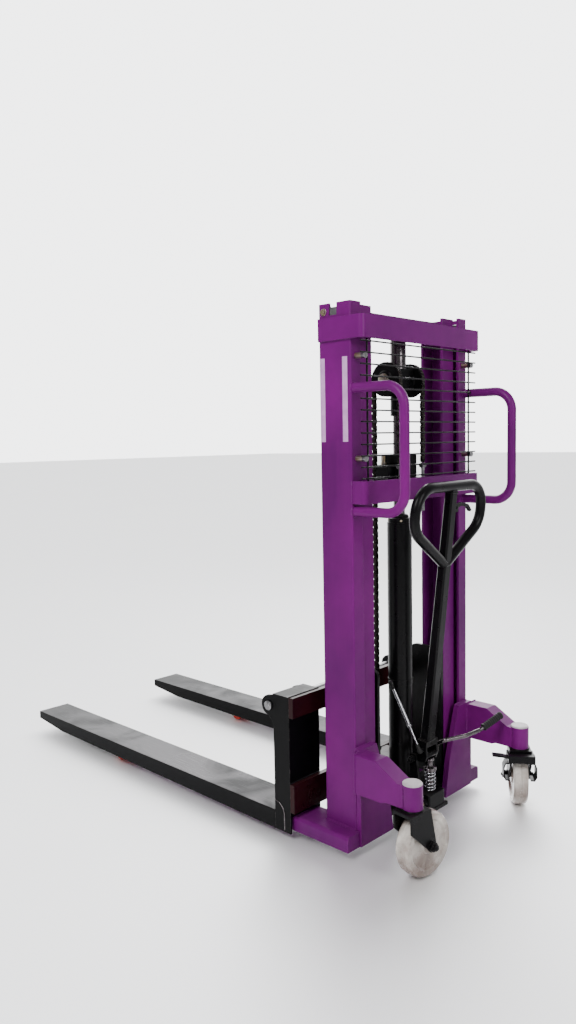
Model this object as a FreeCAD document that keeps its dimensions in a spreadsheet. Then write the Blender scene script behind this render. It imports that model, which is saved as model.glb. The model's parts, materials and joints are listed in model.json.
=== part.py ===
"""Walkie stacker: a two-stage hand stacker, drawn as the separate pieces it is built from.

Millimetres. Drawn from the floor under the mast's centre: +X is the machine's left, +Y is the operator's
side, +Z is up, and the forks reach towards -Y. Every piece is then placed about the middle of the whole
machine's footprint, so the file's origin lies on the floor under the centre of the machine.
"""
import FreeCAD, Part
import math
import os
import re

import Sketcher

# The driving dimensions, all in millimetres or degrees.
DIMENSIONS = {
    # Middle of the footprint, seen from the floor under the mast's centre.
    "origin_x": -21.0,
    "origin_y": -699.5,
    # Outer mast: two channels that open towards each other.
    "mast_half": 323.0,
    "mast_depth": 126.0,
    "mast_foot": 80.0,
    "mast_top": 1725.0,
    "web": 8.0,
    "flange": 9.0,
    "flange_width": 50.0,
    "notch_low": 1688.0,
    # Inner mast: two narrower channels that stand inside the outer pair.
    "inner_far": 266.0,
    "inner_near": 199.0,
    "inner_depth": 90.0,
    "inner_foot": 100.0,
    "inner_top": 1721.0,
    # Cross members of the outer mast.
    "plate": 8.0,
    "cross_rear": 115.0,
    "beam_low": 1611.0,
    "beam_high": 1680.0,
    "bar_low": 1113.0,
    "bar_high": 1183.0,
    "anchor_plate": 12.0,
    # Base legs, which run forward inside the forks.
    "leg_inner": 271.0,
    "leg_outer": 382.0,
    "leg_low": 31.0,
    "leg_high": 80.0,
    "leg_wall": 8.0,
    "leg_front": 1235.0,
    "leg_rear": 77.0,
    "load_wheel_y": -1168.0,
    "load_wheel_radius": 35.0,
    "load_axle_radius": 10.0,
    # Outriggers and casters.
    "caster_x": 322.7,
    "caster_y": 278.6,
    "arm_width": 60.0,
    "arm_low": 216.0,
    "arm_high": 340.0,
    "tube_radius": 31.0,
    "tube_low": 220.0,
    "tube_high": 293.5,
    "stem_radius": 20.0,
    "caster_wheel_radius": 100.0,
    "caster_wheel_width": 50.0,
    "caster_axle_radius": 10.0,
    "trail": 45.0,
    "left_heading": 174.0,
    "right_heading": 216.0,
    "yoke_low": 206.0,
    "yoke_high": 216.0,
    "cheek_inner": 30.0,
    "cheek": 7.0,
    "brake_z": 195.0,
    # Grab handles and the mesh guard.
    "handle_x": 310.0,
    "handle_low": 1090.0,
    "handle_high": 1465.0,
    "handle_reach": 250.0,
    "handle_radius": 15.0,
    "handle_bend": 65.0,
    "guard_y": 100.0,
    "guard_low": 1190.0,
    "guard_pitch": 34.5,
    "guard_half": 321.0,
    "guard_post": 285.0,
    "guard_stud": 298.0,
    "wire_radius": 2.5,
    "post_radius": 3.0,
    # Hydraulic cylinder and its rod.
    "cylinder_y": 2.0,
    "barrel_radius": 41.5,
    "barrel_bore": 33.0,
    "barrel_foot": 112.0,
    "barrel_top": 1028.0,
    "gland_top": 1050.0,
    "rod_radius": 19.0,
    "rod_foot": 230.0,
    "sleeve_low": 1385.0,
    "sleeve_radius": 27.0,
    "guide_low": 1165.0,
    "guide_high": 1256.0,
    # Lift chains and their pulleys.
    "pulley_z": 1503.0,
    "pulley_x": 64.0,
    "pulley_radius": 56.0,
    "pulley_width": 26.0,
    "pulley_axle_radius": 12.5,
    "chain_radius": 52.0,
    "chain_width": 16.0,
    "chain_thick": 12.0,
    "chain_rear_low": 1228.0,
    "chain_front_low": 252.0,
    # Forks and carriage.
    "fork_outer": 400.0,
    "fork_width": 146.0,
    "fork_tip": 1754.0,
    "fork_taper": 192.0,
    "fork_top": 87.5,
    "fork_low": 24.5,
    "fork_rise": 12.0,
    "tip_thick": 31.0,
    "fork_wall": 6.0,
    "shank_front": 221.0,
    "shank_rear": 150.0,
    "shank_top": 483.0,
    "shank_wall": 10.0,
    "shaft_y": -240.0,
    "shaft_z": 440.0,
    "shaft_radius": 14.0,
    "ear_radius": 34.0,
    "cross_thick": 18.0,
    "upper_low": 416.0,
    "lower_low": 98.0,
    "lower_high": 194.0,
    "side_inner": 178.0,
    "side_thick": 12.0,
    "side_top": 565.0,
    "side_rear": 50.0,
    "roller_low": 165.0,
    "roller_high": 500.0,
    "roller_radius": 35.3,
    "roller_pin": 12.0,
    # Base plate, pump and tiller.
    "base_low": 62.0,
    "base_high": 74.0,
    "pivot_y": 88.0,
    "pivot_z": 240.0,
    "pivot_radius": 7.0,
    "pump_y": 121.0,
    "pump_top": 122.0,
    "plunger_radius": 10.0,
    "cap_low": 195.0,
    "plunger_top": 235.5,
    "tiller_lean": 6.5,
    "tiller_axis": 17.5,
    "loop_half": 190.0,
    "loop_top": 922.0,
    "loop_waist": 790.0,
    "loop_join": 668.0,
    "loop_bend": 78.0,
    "loop_radius": 17.0,
    # Strut between the cylinder and the tiller.
    "strut_x": 50.0,
    "strut_y": -1.5,
    "strut_z": 480.6,
    "strut_angle": 29.27,
    "strut_length": 240.3,
    "fit": 0.05,
}

doc = FreeCAD.newDocument("walkie_stacker")
sheet = doc.addObject("Spreadsheet::Sheet", "Size")
nodes = []

SIDES = (("left", 1), ("right", -1))
UPRIGHT = FreeCAD.Rotation()
ALONG_X = FreeCAD.Rotation(FreeCAD.Vector(0, 1, 0), 90)
ALONG_Y = FreeCAD.Rotation(FreeCAD.Vector(1, 0, 0), -90)


# ---------------------------------------------------------------- helpers


def fill_sheet():
    """One row of the sheet for each driving dimension, under its own alias."""
    for row, (name, size) in enumerate(DIMENSIONS.items(), start=1):
        sheet.set(f"A{row}", name)
        sheet.set(f"B{row}", str(size))
        sheet.setAlias(f"B{row}", name)
    doc.recompute()


def linked(text):
    """The expression with each dimension's name read from the sheet."""
    return re.sub(r"[a-z][a-z_]*", lambda word: f"Size.{word.group()}", str(text))


def number(text):
    """The present value of an expression in the sheet's dimensions."""
    return float(sheet.evalExpression(linked(text)))


def bind(piece, prop, text):
    """Ties one property of a piece to the sheet."""
    piece.setExpression(prop, linked(text))


def place(piece, x="0", y="0", z="0", turn=UPRIGHT):
    """Puts a piece at a point given from the floor under the mast's centre."""
    piece.Placement = FreeCAD.Placement(FreeCAD.Vector(), turn)
    bind(piece, "Placement.Base.x", f"({x}) - origin_x")
    bind(piece, "Placement.Base.y", f"({y}) - origin_y")
    bind(piece, "Placement.Base.z", z)
    return piece


def node(piece, label):
    """Names a finished sub-part, which is then written to a file of that name."""
    piece.Label = label
    nodes.append(piece)
    return piece


def new_body(label):
    """An empty body."""
    return doc.addObject("PartDesign::Body", label)


def new_sketch(body, plane, offset="0"):
    """A sketch on one of the body's own origin planes, moved along that plane's normal."""
    sketch = body.newObject("Sketcher::SketchObject", f"{body.Name}_sketch")
    role = f"{plane}_Plane"
    support = [item for item in body.Origin.OriginFeatures if item.Role == role][0]
    sketch.AttachmentSupport = [(support, "")]
    sketch.MapMode = "FlatFace"
    bind(sketch, "AttachmentOffset.Base.z", offset)
    return sketch


def tie(sketch, kind, geometry, point, text):
    """Holds a point of the sketch at a distance from the origin that the sheet gives."""
    if str(text) == "0":
        axis = -2 if kind == "DistanceX" else -1
        sketch.addConstraint(Sketcher.Constraint("PointOnObject", geometry, point, axis))
        return
    rule = Sketcher.Constraint(kind, -1, 1, geometry, point, number(text))
    index = sketch.addConstraint(rule)
    sketch.setExpression(f"Constraints[{index}]", linked(text))


def outline(sketch, points):
    """A closed outline of straight lines through points given as pairs of expressions."""
    corners = [FreeCAD.Vector(number(u), number(v), 0) for u, v in points]
    first = sketch.GeometryCount
    count = len(points)
    for here, there in zip(corners, corners[1:] + corners[:1]):
        sketch.addGeometry(Part.LineSegment(here, there), False)
    for index in range(count):
        after = first + (index + 1) % count
        sketch.addConstraint(Sketcher.Constraint("Coincident", first + index, 2, after, 1))
    for index, (u, v) in enumerate(points):
        tie(sketch, "DistanceX", first + index, 1, u)
        tie(sketch, "DistanceY", first + index, 1, v)


def circle(sketch, u, v, radius):
    """A circle whose centre and radius come from the sheet."""
    centre = FreeCAD.Vector(number(u), number(v), 0)
    shape = Part.Circle(centre, FreeCAD.Vector(0, 0, 1), number(radius))
    index = sketch.addGeometry(shape, False)
    tie(sketch, "DistanceX", index, 3, u)
    tie(sketch, "DistanceY", index, 3, v)
    rule = sketch.addConstraint(Sketcher.Constraint("Radius", index, number(radius)))
    sketch.setExpression(f"Constraints[{rule}]", linked(radius))


def profile(body, plane, start, points, circles):
    """A sketch that holds an outline, circles or both, where its extrusion starts."""
    offset = f"-({start})" if plane == "XZ" else start
    sketch = new_sketch(body, plane, offset)
    if points:
        outline(sketch, points)
    for u, v, radius in circles:
        circle(sketch, u, v, radius)
    return sketch


def pad(body, plane, start, length, points=(), circles=()):
    """Adds material from start, towards the plane's positive axis."""
    sketch = profile(body, plane, start, points, circles)
    feature = body.newObject("PartDesign::Pad", f"{body.Name}_pad")
    feature.Profile = sketch
    bind(feature, "Length", length)
    feature.Reversed = plane == "XZ"
    sketch.Visibility = False
    return feature


def cut(body, plane, start, length, points=(), circles=()):
    """Takes material away from start, towards the plane's positive axis."""
    sketch = profile(body, plane, start, points, circles)
    feature = body.newObject("PartDesign::Pocket", f"{body.Name}_pocket")
    feature.Profile = sketch
    bind(feature, "Length", length)
    feature.Reversed = plane != "XZ"
    sketch.Visibility = False
    return feature


def round_edges(body, radius, chosen):
    """Rounds the edges of the body's last feature that the test picks."""
    doc.recompute()
    base = body.Tip
    names = [f"Edge{n}" for n, edge in enumerate(base.Shape.Edges, start=1) if chosen(edge)]
    feature = body.newObject("PartDesign::Fillet", f"{body.Name}_fillet")
    feature.Base = (base, names)
    bind(feature, "Radius", radius)
    base.Visibility = False


def runs_along(edge, axis):
    """Whether an edge is straight and parallel to an axis, 0, 1 or 2."""
    if len(edge.Vertexes) != 2 or not isinstance(edge.Curve, Part.Line):
        return False
    return abs(abs(edge.Curve.Direction[axis]) - 1.0) < 1e-6


def near(edge, axis, text):
    """Whether the middle of an edge has the given coordinate."""
    return abs(edge.BoundBox.Center[axis] - number(text)) < 0.5


def turned(label, points):
    """A part turned about its own Z axis from an outline of radius and height."""
    body = new_body(label)
    sketch = new_sketch(body, "XZ")
    outline(sketch, points)
    feature = body.newObject("PartDesign::Revolution", f"{body.Name}_turn")
    feature.Profile = sketch
    feature.ReferenceAxis = (sketch, ["V_Axis"])
    feature.Angle = 360
    sketch.Visibility = False
    return body


def rod(radius, length):
    """A plain cylinder, which is part of a sub-part."""
    piece = doc.addObject("Part::Cylinder", "rod")
    bind(piece, "Radius", radius)
    bind(piece, "Height", length)
    return piece


def hexagon(radius, length):
    """A hexagonal head or nut, measured over its corners."""
    piece = doc.addObject("Part::Prism", "hexagon")
    piece.Polygon = 6
    bind(piece, "Circumradius", radius)
    bind(piece, "Height", length)
    return piece


def group(label, pieces):
    """Several like pieces that share one node, each a solid of its own."""
    compound = doc.addObject("Part::Compound", label)
    compound.Links = pieces
    return node(compound, label)


def joined(label, pieces):
    """Pieces that are welded or forged into one."""
    fusion = doc.addObject("Part::MultiFuse", label)
    fusion.Shapes = pieces
    return fusion


def each_side(label, make, *rest):
    """The same sub-part on the left and on the right, each a node of its own."""
    for name, side in SIDES:
        node(make(name, side, *rest), f"{label}_{name}")


def pair(label, make, *rest):
    """The same sub-part on the left and on the right, sharing one node."""
    group(label, [make(name, side, *rest) for name, side in SIDES])


def bent_path(points, radius):
    """The straight runs and bends of a tube through the given corners."""
    edges = []
    last = points[0]
    for before, corner, after in zip(points, points[1:], points[2:]):
        arriving = (corner - before).normalize()
        leaving = (after - corner).normalize()
        half = arriving.getAngle(leaving) / 2
        back = radius * math.tan(half)
        start = corner - arriving * back
        end = corner + leaving * back
        inward = (leaving - arriving).normalize()
        middle = corner + inward * (radius / math.cos(half) - radius)
        edges.append(Part.LineSegment(last, start))
        edges.append(Part.Arc(start, middle, end))
        last = end
    edges.append(Part.LineSegment(last, points[-1]))
    return edges


def bent_tube(body, plane, points, bend, radius):
    """A round tube swept along straight runs and bends in one plane."""
    path = new_sketch(body, plane)
    corners = [FreeCAD.Vector(number(u), number(v), 0) for u, v in points]
    for edge in bent_path(corners, number(bend)):
        path.addGeometry(edge, False)
    doc.recompute()
    section = body.newObject("Sketcher::SketchObject", f"{body.Name}_section")
    section.AttachmentSupport = [(path, "Edge1")]
    section.MapMode = "NormalToEdge"
    section.MapPathParameter = 0.0
    circle(section, "0", "0", radius)
    doc.recompute()
    feature = body.newObject("PartDesign::AdditivePipe", f"{body.Name}_pipe")
    feature.Profile = section
    feature.Spine = (path, [f"Edge{n}" for n in range(1, path.GeometryCount + 1)])
    path.Visibility = False
    section.Visibility = False


# ---------------------------------------------------------------- outer mast and base


def outer_channel(name, side):
    """One upright of the outer mast: a channel that opens towards the machine's centre."""
    body = new_body(f"outer_channel_{name}")
    rim = f"{side} * mast_half"
    web = f"{side} * (mast_half - web)"
    edge = f"{side} * (mast_half - flange_width)"
    outer = "mast_depth / 2"
    inner = "mast_depth / 2 - flange"
    corners = [
        (rim, f"-({outer})"), (edge, f"-({outer})"), (edge, f"-({inner})"), (web, f"-({inner})"),
        (web, inner), (edge, inner), (edge, outer), (rim, outer),
    ]
    pad(body, "XY", "mast_foot", "mast_top - mast_foot", corners)
    notch = [("-20", "notch_low"), ("10", "notch_low"), ("10", "mast_top + 5"), ("-20", "mast_top + 5")]
    start = "mast_half - web - 2" if side > 0 else "-mast_half - 2"
    cut(body, "YZ", start, "web + 4", notch)
    round_edges(body, "5", lambda e: runs_along(e, 2) and near(e, 0, rim) and e.Length > 500)
    return place(body)


def top_beam():
    """The bent plate that ties the tops of the uprights and wraps round their sides."""
    body = new_body("top_beam")
    out = "mast_half + plate"
    corners = [
        (f"-({out})", "-60"), ("-mast_half", "-60"), ("-mast_half", "cross_rear - plate"),
        ("mast_half", "cross_rear - plate"), ("mast_half", "-60"), (out, "-60"),
        (out, "cross_rear"), (f"-({out})", "cross_rear"),
    ]
    pad(body, "XY", "beam_low", "beam_high - beam_low", corners)
    round_edges(body, "18", lambda e: runs_along(e, 2) and near(e, 1, "cross_rear"))
    round_edges(body, "8", lambda e: runs_along(e, 2) and near(e, 1, "cross_rear - plate"))
    return place(body)


def mid_bar():
    """The bent plate across the backs of the uprights, with the shelf for the chains' fixed ends."""
    body = new_body("mid_bar")
    face = "mast_depth / 2"
    corners = [
        ("-mast_half", face), ("-mast_half + plate", face), ("-mast_half + plate", "cross_rear - plate"),
        ("mast_half - plate", "cross_rear - plate"), ("mast_half - plate", face), ("mast_half", face),
        ("mast_half", "cross_rear"), ("-mast_half", "cross_rear"),
    ]
    pad(body, "XY", "bar_low", "bar_high - bar_low", corners)
    round_edges(body, "16", lambda e: runs_along(e, 2) and near(e, 1, "cross_rear"))
    round_edges(body, "6", lambda e: runs_along(e, 2) and near(e, 1, "cross_rear - plate"))
    shelf = [("-95", "40"), ("95", "40"), ("95", "cross_rear - plate + 1"), ("-95", "cross_rear - plate + 1")]
    holes = [(f"{side} * pulley_x", "chain_radius + cylinder_y", "6.5") for name, side in SIDES]
    pad(body, "XY", "bar_low + 4", "anchor_plate", shelf, holes)
    return place(body)


def rod_guide():
    """The black block that steadies the rod above the cylinder, with its stop bolt's lug."""
    body = new_body("rod_guide")
    block = [
        ("-45", "-38"), ("45", "-38"), ("45", "-28"), ("88", "-28"), ("88", "22"), ("45", "22"),
        ("45", "42"), ("20", "42"), ("20", "cross_rear - plate"), ("-20", "cross_rear - plate"),
        ("-20", "42"), ("-45", "42"),
    ]
    pad(body, "XY", "guide_low", "guide_high - guide_low", block, [("0", "cylinder_y", "rod_radius + 1")])
    cut(body, "XY", "guide_high - 32", "40", [("45", "-40"), ("90", "-40"), ("90", "30"), ("45", "30")])
    cut(body, "XY", "guide_low - 1", "guide_high", circles=[("68", "-10", "5.5")])
    cut(body, "XY", "bar_high", "guide_high - bar_high + 1", [
        ("-50", "43"), ("50", "43"), ("50", "cross_rear"), ("-50", "cross_rear"),
    ])
    return place(body)


def base_leg(name, side):
    """A base leg: an upturned trough that reaches forward inside its fork."""
    body = new_body(f"base_leg_{name}")
    inner = f"{side} * leg_inner"
    outer = f"{side} * leg_outer"
    inner_wall = f"{side} * (leg_inner + leg_wall)"
    outer_wall = f"{side} * (leg_outer - leg_wall)"
    corners = [
        (inner, "leg_low"), (inner, "leg_high"), (outer, "leg_high"), (outer, "leg_low"),
        (outer_wall, "leg_low"), (outer_wall, "leg_high - leg_wall"),
        (inner_wall, "leg_high - leg_wall"), (inner_wall, "leg_low"),
    ]
    pad(body, "XZ", "-leg_front", "leg_front + leg_rear", corners)
    block = [(inner, "leg_low"), (inner, "leg_high"), (outer, "leg_high"), (outer, "leg_low")]
    pad(body, "XZ", "leg_rear - leg_wall", "leg_wall", block)
    tip = "-leg_front - 5"
    nose = [(tip, "leg_low - 5"), (tip, "leg_low + 22"), ("-leg_front + 34", "leg_low - 5")]
    start = "leg_inner - 1" if side > 0 else "-leg_outer - 1"
    cut(body, "YZ", start, "leg_outer - leg_inner + 2", nose)
    hole = [("load_wheel_y", "load_wheel_radius", "load_axle_radius")]
    cut(body, "YZ", start, "leg_outer - leg_inner + 2", circles=hole)
    round_edges(body, "13", lambda e: runs_along(e, 1) and near(e, 2, "leg_high") and near(e, 0, outer))
    return place(body)


def load_wheels():
    """The red load rollers at the fronts of the legs."""
    radius = "load_wheel_radius"
    bore = "load_axle_radius + fit"
    wheels = []
    for name, side in SIDES:
        wheel = turned(f"load_wheel_{name}", [
            (bore, "-40"), (f"{radius} - 9", "-40"), (f"{radius} - 9", "-38"), (f"{radius} - 3", "-38"),
            (radius, "-35"), (radius, "35"), (f"{radius} - 3", "38"), (f"{radius} - 9", "38"),
            (f"{radius} - 9", "40"), (bore, "40"),
        ])
        middle = f"{side} * (leg_inner + leg_outer) / 2"
        wheels.append(place(wheel, middle, "load_wheel_y", radius, ALONG_X))
    group("load_wheels", wheels)


def load_axles():
    """The axles across the legs that the load rollers turn on."""
    axles = []
    for name, side in SIDES:
        axle = rod("load_axle_radius", "leg_outer - leg_inner")
        start = "leg_inner" if side > 0 else "-leg_outer"
        axles.append(place(axle, start, "load_wheel_y", "load_wheel_radius", ALONG_X))
    group("load_axles", axles)


def base_plate():
    """The floor plate between the legs, with the cylinder's foot and a tongue for the pump."""
    body = new_body("base_plate")
    pad(body, "XY", "base_low", "base_high - base_low", [
        ("-leg_inner", "-60"), ("leg_inner", "-60"), ("leg_inner", "62"), ("60", "62"),
        ("60", "152"), ("-60", "152"), ("-60", "62"), ("-leg_inner", "62"),
    ])
    foot = [("-50", "-46"), ("50", "-46"), ("50", "50"), ("-50", "50")]
    pad(body, "XY", "base_high - 1", "barrel_foot - base_high + 1", foot)
    return place(body)


def base_rear_plate(name, side):
    """The plate with a slanted inner edge that closes the foot of an upright."""
    body = new_body(f"base_rear_plate_{name}")
    corners = [
        (f"{side} * 155", "leg_low"), (f"{side} * mast_half", "leg_low"), (f"{side} * mast_half", "345"),
        (f"{side} * 240", "345"), (f"{side} * 180", "165"),
    ]
    pad(body, "XZ", "leg_rear", "6", corners)
    rear = [
        (f"{side} * 155", "leg_low"), (f"{side} * (leg_inner - 1)", "leg_low"),
        (f"{side} * (leg_inner - 1)", "345"), (f"{side} * 240", "345"), (f"{side} * 180", "165"),
    ]
    pad(body, "XZ", "mast_depth / 2", "leg_rear - mast_depth / 2", rear)
    foot = [
        (f"{side} * (leg_inner - 1)", "leg_high"), (f"{side} * mast_half", "leg_high"),
        (f"{side} * mast_half", "345"), (f"{side} * (leg_inner - 1)", "345"),
    ]
    pad(body, "XZ", "mast_depth / 2", "leg_rear - mast_depth / 2", foot)
    return place(body)


def outrigger(name, side):
    """The boxed arm behind an upright, with the upright tube that holds a caster."""
    body = new_body(f"outrigger_{name}")
    start = "caster_x - arm_width / 2" if side > 0 else "-caster_x - arm_width / 2"
    face = "leg_rear + 6"
    arm = [
        (face, "arm_low"), (face, "arm_high"), ("165", "arm_high"), ("244", "tube_high"),
        ("265", "tube_high - 2"), ("265", "tube_low + 2"), ("200", "tube_low + 2"), ("186", "arm_low"),
    ]
    pad(body, "YZ", start, "arm_width", arm)
    hub = [(f"{side} * caster_x", "caster_y", "tube_radius")]
    pad(body, "XY", "tube_low", "tube_high - tube_low", circles=hub)
    bore = [(f"{side} * caster_x", "caster_y", "stem_radius + fit")]
    cut(body, "XY", "tube_low - 10", "tube_high - tube_low + 20", circles=bore)
    round_edges(body, "4", lambda e: runs_along(e, 1) and near(e, 2, "arm_high"))
    return place(body)


def caster_cap(name, side):
    """The pale plastic cap on top of a caster tube."""
    wide = "tube_radius - 1"
    edge = [(wide, "0"), (wide, "3"), (f"{wide} - 2.5", "5.5")]
    cap = turned(f"caster_cap_{name}", [("0", "0")] + edge + [("0", "5.5")])
    return place(cap, f"{side} * caster_x", "caster_y", "tube_high")


def grab_handle(name, side):
    """A bent tube handle behind an upright."""
    body = new_body(f"grab_handle_{name}")
    corners = [
        ("mast_depth / 2", "handle_high"), ("handle_reach", "handle_high"),
        ("handle_reach", "handle_low"), ("mast_depth / 2", "handle_low"),
    ]
    bent_tube(body, "YZ", corners, "handle_bend", "handle_radius")
    return place(body, f"{side} * handle_x")


def mesh_guard():
    """The wire guard across the back of the mast: level wires welded to two posts."""
    wires = []
    handle_row = 8
    for row in range(13):
        reach = "guard_half"
        if row == handle_row:
            reach = "(handle_x - handle_radius - 3)"
        wire = rod("wire_radius", f"2 * {reach}")
        wires.append(place(wire, f"-{reach}", "guard_y", f"guard_low + {row} * guard_pitch", ALONG_X))
    for name, side in SIDES:
        post = rod("post_radius", "12 * guard_pitch + 16")
        y = "guard_y - wire_radius - post_radius + 0.8"
        wires.append(place(post, f"{side} * guard_post", y, "guard_low - 8"))
    return joined("mesh_guard", wires)


def side_pad(name, side):
    """The bronze slide block in the notch of an upright, which bears on the inner mast."""
    body = new_body(f"side_pad_{name}")
    start = "inner_far + 0.4" if side > 0 else "-mast_half + 2"
    block = [("-19", "notch_low"), ("9", "notch_low"), ("9", "notch_low + 24"), ("-19", "notch_low + 24")]
    pad(body, "YZ", start, "mast_half - 2.4 - inner_far", block)
    pin = [(f"{side} * (inner_far + 24)", "notch_low + 12", "7")]
    pad(body, "XZ", "-(mast_depth / 2 - flange)", "mast_depth - 2 * flange", circles=pin)
    return place(body)


def frame_bolts():
    """The guard's spacers, the bolts on the uprights, and the guide block's stop bolt."""
    bolts = []
    length = "guard_y - wire_radius - mast_depth / 2"
    for name, side in SIDES:
        for wire_row in (2, 11):
            spacer = rod("9", length)
            z = f"guard_low + {wire_row} * guard_pitch - 8"
            bolts.append(place(spacer, f"{side} * guard_stud", "mast_depth / 2", z, ALONG_Y))
        x = "mast_half" if side > 0 else "-mast_half - 7"
        bolts.append(place(hexagon("9", "7"), x, "-42", "1700", ALONG_X))
    shaft = place(rod("5.5", "78"), "68", "-10", "guide_low + 10")
    head = place(hexagon("10", "8"), "68", "-10", "guide_high - 32")
    bolts.append(joined("stop_bolt", [shaft, head]))
    return group("frame_bolts", bolts)


# ---------------------------------------------------------------- cylinder


def cylinder_barrel():
    """The lift cylinder's barrel, closed at its foot, with the band and boss that hold the strut."""
    band = "strut_z - barrel_foot"
    proud = "barrel_radius + 1.5"
    barrel = turned("cylinder_barrel", [
        ("0", "0"), ("barrel_radius", "0"), ("barrel_radius", f"{band} - 9"), (proud, f"{band} - 9"),
        (proud, f"{band} + 9"), ("barrel_radius", f"{band} + 9"),
        ("barrel_radius", "barrel_top - barrel_foot"), ("barrel_bore", "barrel_top - barrel_foot"),
        ("barrel_bore", "40"), ("0", "40"),
    ])
    boss = [("strut_y - cylinder_y", band, "4")]
    pad(barrel, "YZ", "barrel_radius + 1", "strut_x + 6 - barrel_radius - 1", circles=boss)
    return place(barrel, "0", "cylinder_y", "barrel_foot")


def cylinder_gland():
    """The bright gland nut that the rod slides through."""
    bore = "rod_radius + fit"
    gland = turned("cylinder_gland", [
        (bore, "0"), ("barrel_radius - 3", "0"), ("barrel_radius - 3", "14"), ("32", "17"),
        ("32", "gland_top - barrel_top"), (bore, "gland_top - barrel_top"),
    ])
    return place(gland, "0", "cylinder_y", "barrel_top")


# ---------------------------------------------------------------- inner mast


def inner_channel(name, side):
    """One upright of the inner mast, which stands inside the outer one."""
    body = new_body(f"inner_channel_{name}")
    rim = f"{side} * inner_far"
    web = f"{side} * (inner_far - web)"
    edge = f"{side} * inner_near"
    outer = "inner_depth / 2"
    inner = "inner_depth / 2 - flange"
    corners = [
        (rim, f"-({outer})"), (edge, f"-({outer})"), (edge, f"-({inner})"), (web, f"-({inner})"),
        (web, inner), (edge, inner), (edge, outer), (rim, outer),
    ]
    pad(body, "XY", "inner_foot", "inner_top - inner_foot", corners)
    return place(body)


def inner_top_beam():
    """The cross member between the tops of the inner uprights, which the rod pushes up."""
    body = new_body("inner_top_beam")
    box = [("-inner_near", "-38"), ("inner_near", "-38"), ("inner_near", "40"), ("-inner_near", "40")]
    pad(body, "XY", "1648", "54", box)
    return place(body)


def piston_rod():
    """The lift rod with its piston, from inside the barrel up to the crosshead's sleeve."""
    top = "sleeve_low - rod_foot"
    piston = turned("piston_rod", [
        ("0", "-40"), ("barrel_bore - fit", "-40"), ("barrel_bore - fit", "0"), ("rod_radius", "0"),
        ("rod_radius", top), ("0", top),
    ])
    return place(piston, "0", "cylinder_y", "rod_foot")


def crosshead():
    """The block on top of the rod that carries the chain pulleys, with its sleeve."""
    body = new_body("crosshead")
    sleeve = [("0", "0", "sleeve_radius")]
    pad(body, "XY", "sleeve_low", "pulley_z - sleeve_low - 30", circles=sleeve)
    box = [("-46", "-28"), ("46", "-28"), ("46", "28"), ("-46", "28")]
    pad(body, "XY", "pulley_z - 32", "68", box)
    cut(body, "YZ", "-60", "120", circles=[("0", "pulley_z", "pulley_axle_radius")])
    return place(body, "0", "cylinder_y")


def lift_tube():
    """The bright tube between the crosshead and the inner mast's top beam."""
    top = "1648 - pulley_z - 36"
    wide = "sleeve_radius - 1"
    tube = turned("lift_tube", [("0", "0"), (wide, "0"), (wide, top), ("0", top)])
    return place(tube, "0", "cylinder_y", "pulley_z + 36")


def pulley_axle():
    """The axle through the crosshead that both chain pulleys turn on."""
    half = "pulley_x + pulley_width / 2 + 8"
    collar = "pulley_x + pulley_width / 2 + 1"
    pin = "pulley_axle_radius"
    axle = turned("pulley_axle", [
        ("0", f"-({half})"), ("19", f"-({half})"), ("19", f"-({collar})"), (pin, f"-({collar})"),
        (pin, collar), ("19", collar), ("19", half), ("0", half),
    ])
    return place(axle, "0", "cylinder_y", "pulley_z", ALONG_X)


def pulley(name, side):
    """A chain pulley: two flanges either side of the groove that the chain lies in."""
    half = "pulley_width / 2"
    seat = "chain_radius - chain_thick / 2 - 0.4"
    lip = "chain_width / 2 + 0.8"
    bore = "pulley_axle_radius + fit"
    wheel = turned(f"pulley_{name}", [
        (bore, f"-({half})"), ("26", f"-({half})"), ("30", f"-({half}) + 3"),
        ("pulley_radius", f"-({half}) + 3"), ("pulley_radius", f"-({lip})"), (seat, f"-({lip})"),
        (seat, lip), ("pulley_radius", lip),
        ("pulley_radius", f"{half} - 3"), ("30", f"{half} - 3"), ("26", half), (bore, half),
    ])
    return place(wheel, f"{side} * pulley_x", "cylinder_y", "pulley_z", ALONG_X)


def chain_over(name, side):
    """A chain's fixed run up from its anchor and over the pulley."""
    body = new_body(f"chain_over_{name}")
    near_edge = "chain_radius - chain_thick / 2"
    far_edge = "chain_radius + chain_thick / 2"
    start = f"{side} * pulley_x - chain_width / 2"
    ring = [("cylinder_y", "pulley_z", far_edge), ("cylinder_y", "pulley_z", near_edge)]
    pad(body, "YZ", start, "chain_width", circles=ring)
    lower = [
        ("cylinder_y - 70", "pulley_z - 70"), ("cylinder_y + 70", "pulley_z - 70"),
        ("cylinder_y + 70", "pulley_z"), ("cylinder_y - 70", "pulley_z"),
    ]
    cut(body, "YZ", f"{start} - 1", "chain_width + 2", lower)
    run = [
        (f"cylinder_y + {near_edge}", "chain_rear_low"), (f"cylinder_y + {far_edge}", "chain_rear_low"),
        (f"cylinder_y + {far_edge}", "pulley_z + 1"), (f"cylinder_y + {near_edge}", "pulley_z + 1"),
    ]
    pad(body, "YZ", start, "chain_width", run)
    return place(body)


def chain_front(name, side):
    """A chain's lifting run, from the pulley down to the carriage."""
    run = doc.addObject("Part::Box", f"chain_front_{name}")
    bind(run, "Length", "chain_width")
    bind(run, "Width", "chain_thick")
    bind(run, "Height", "pulley_z - chain_front_low")
    x = f"{side} * pulley_x - chain_width / 2"
    return place(run, x, "cylinder_y - chain_radius - chain_thick / 2", "chain_front_low")


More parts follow.
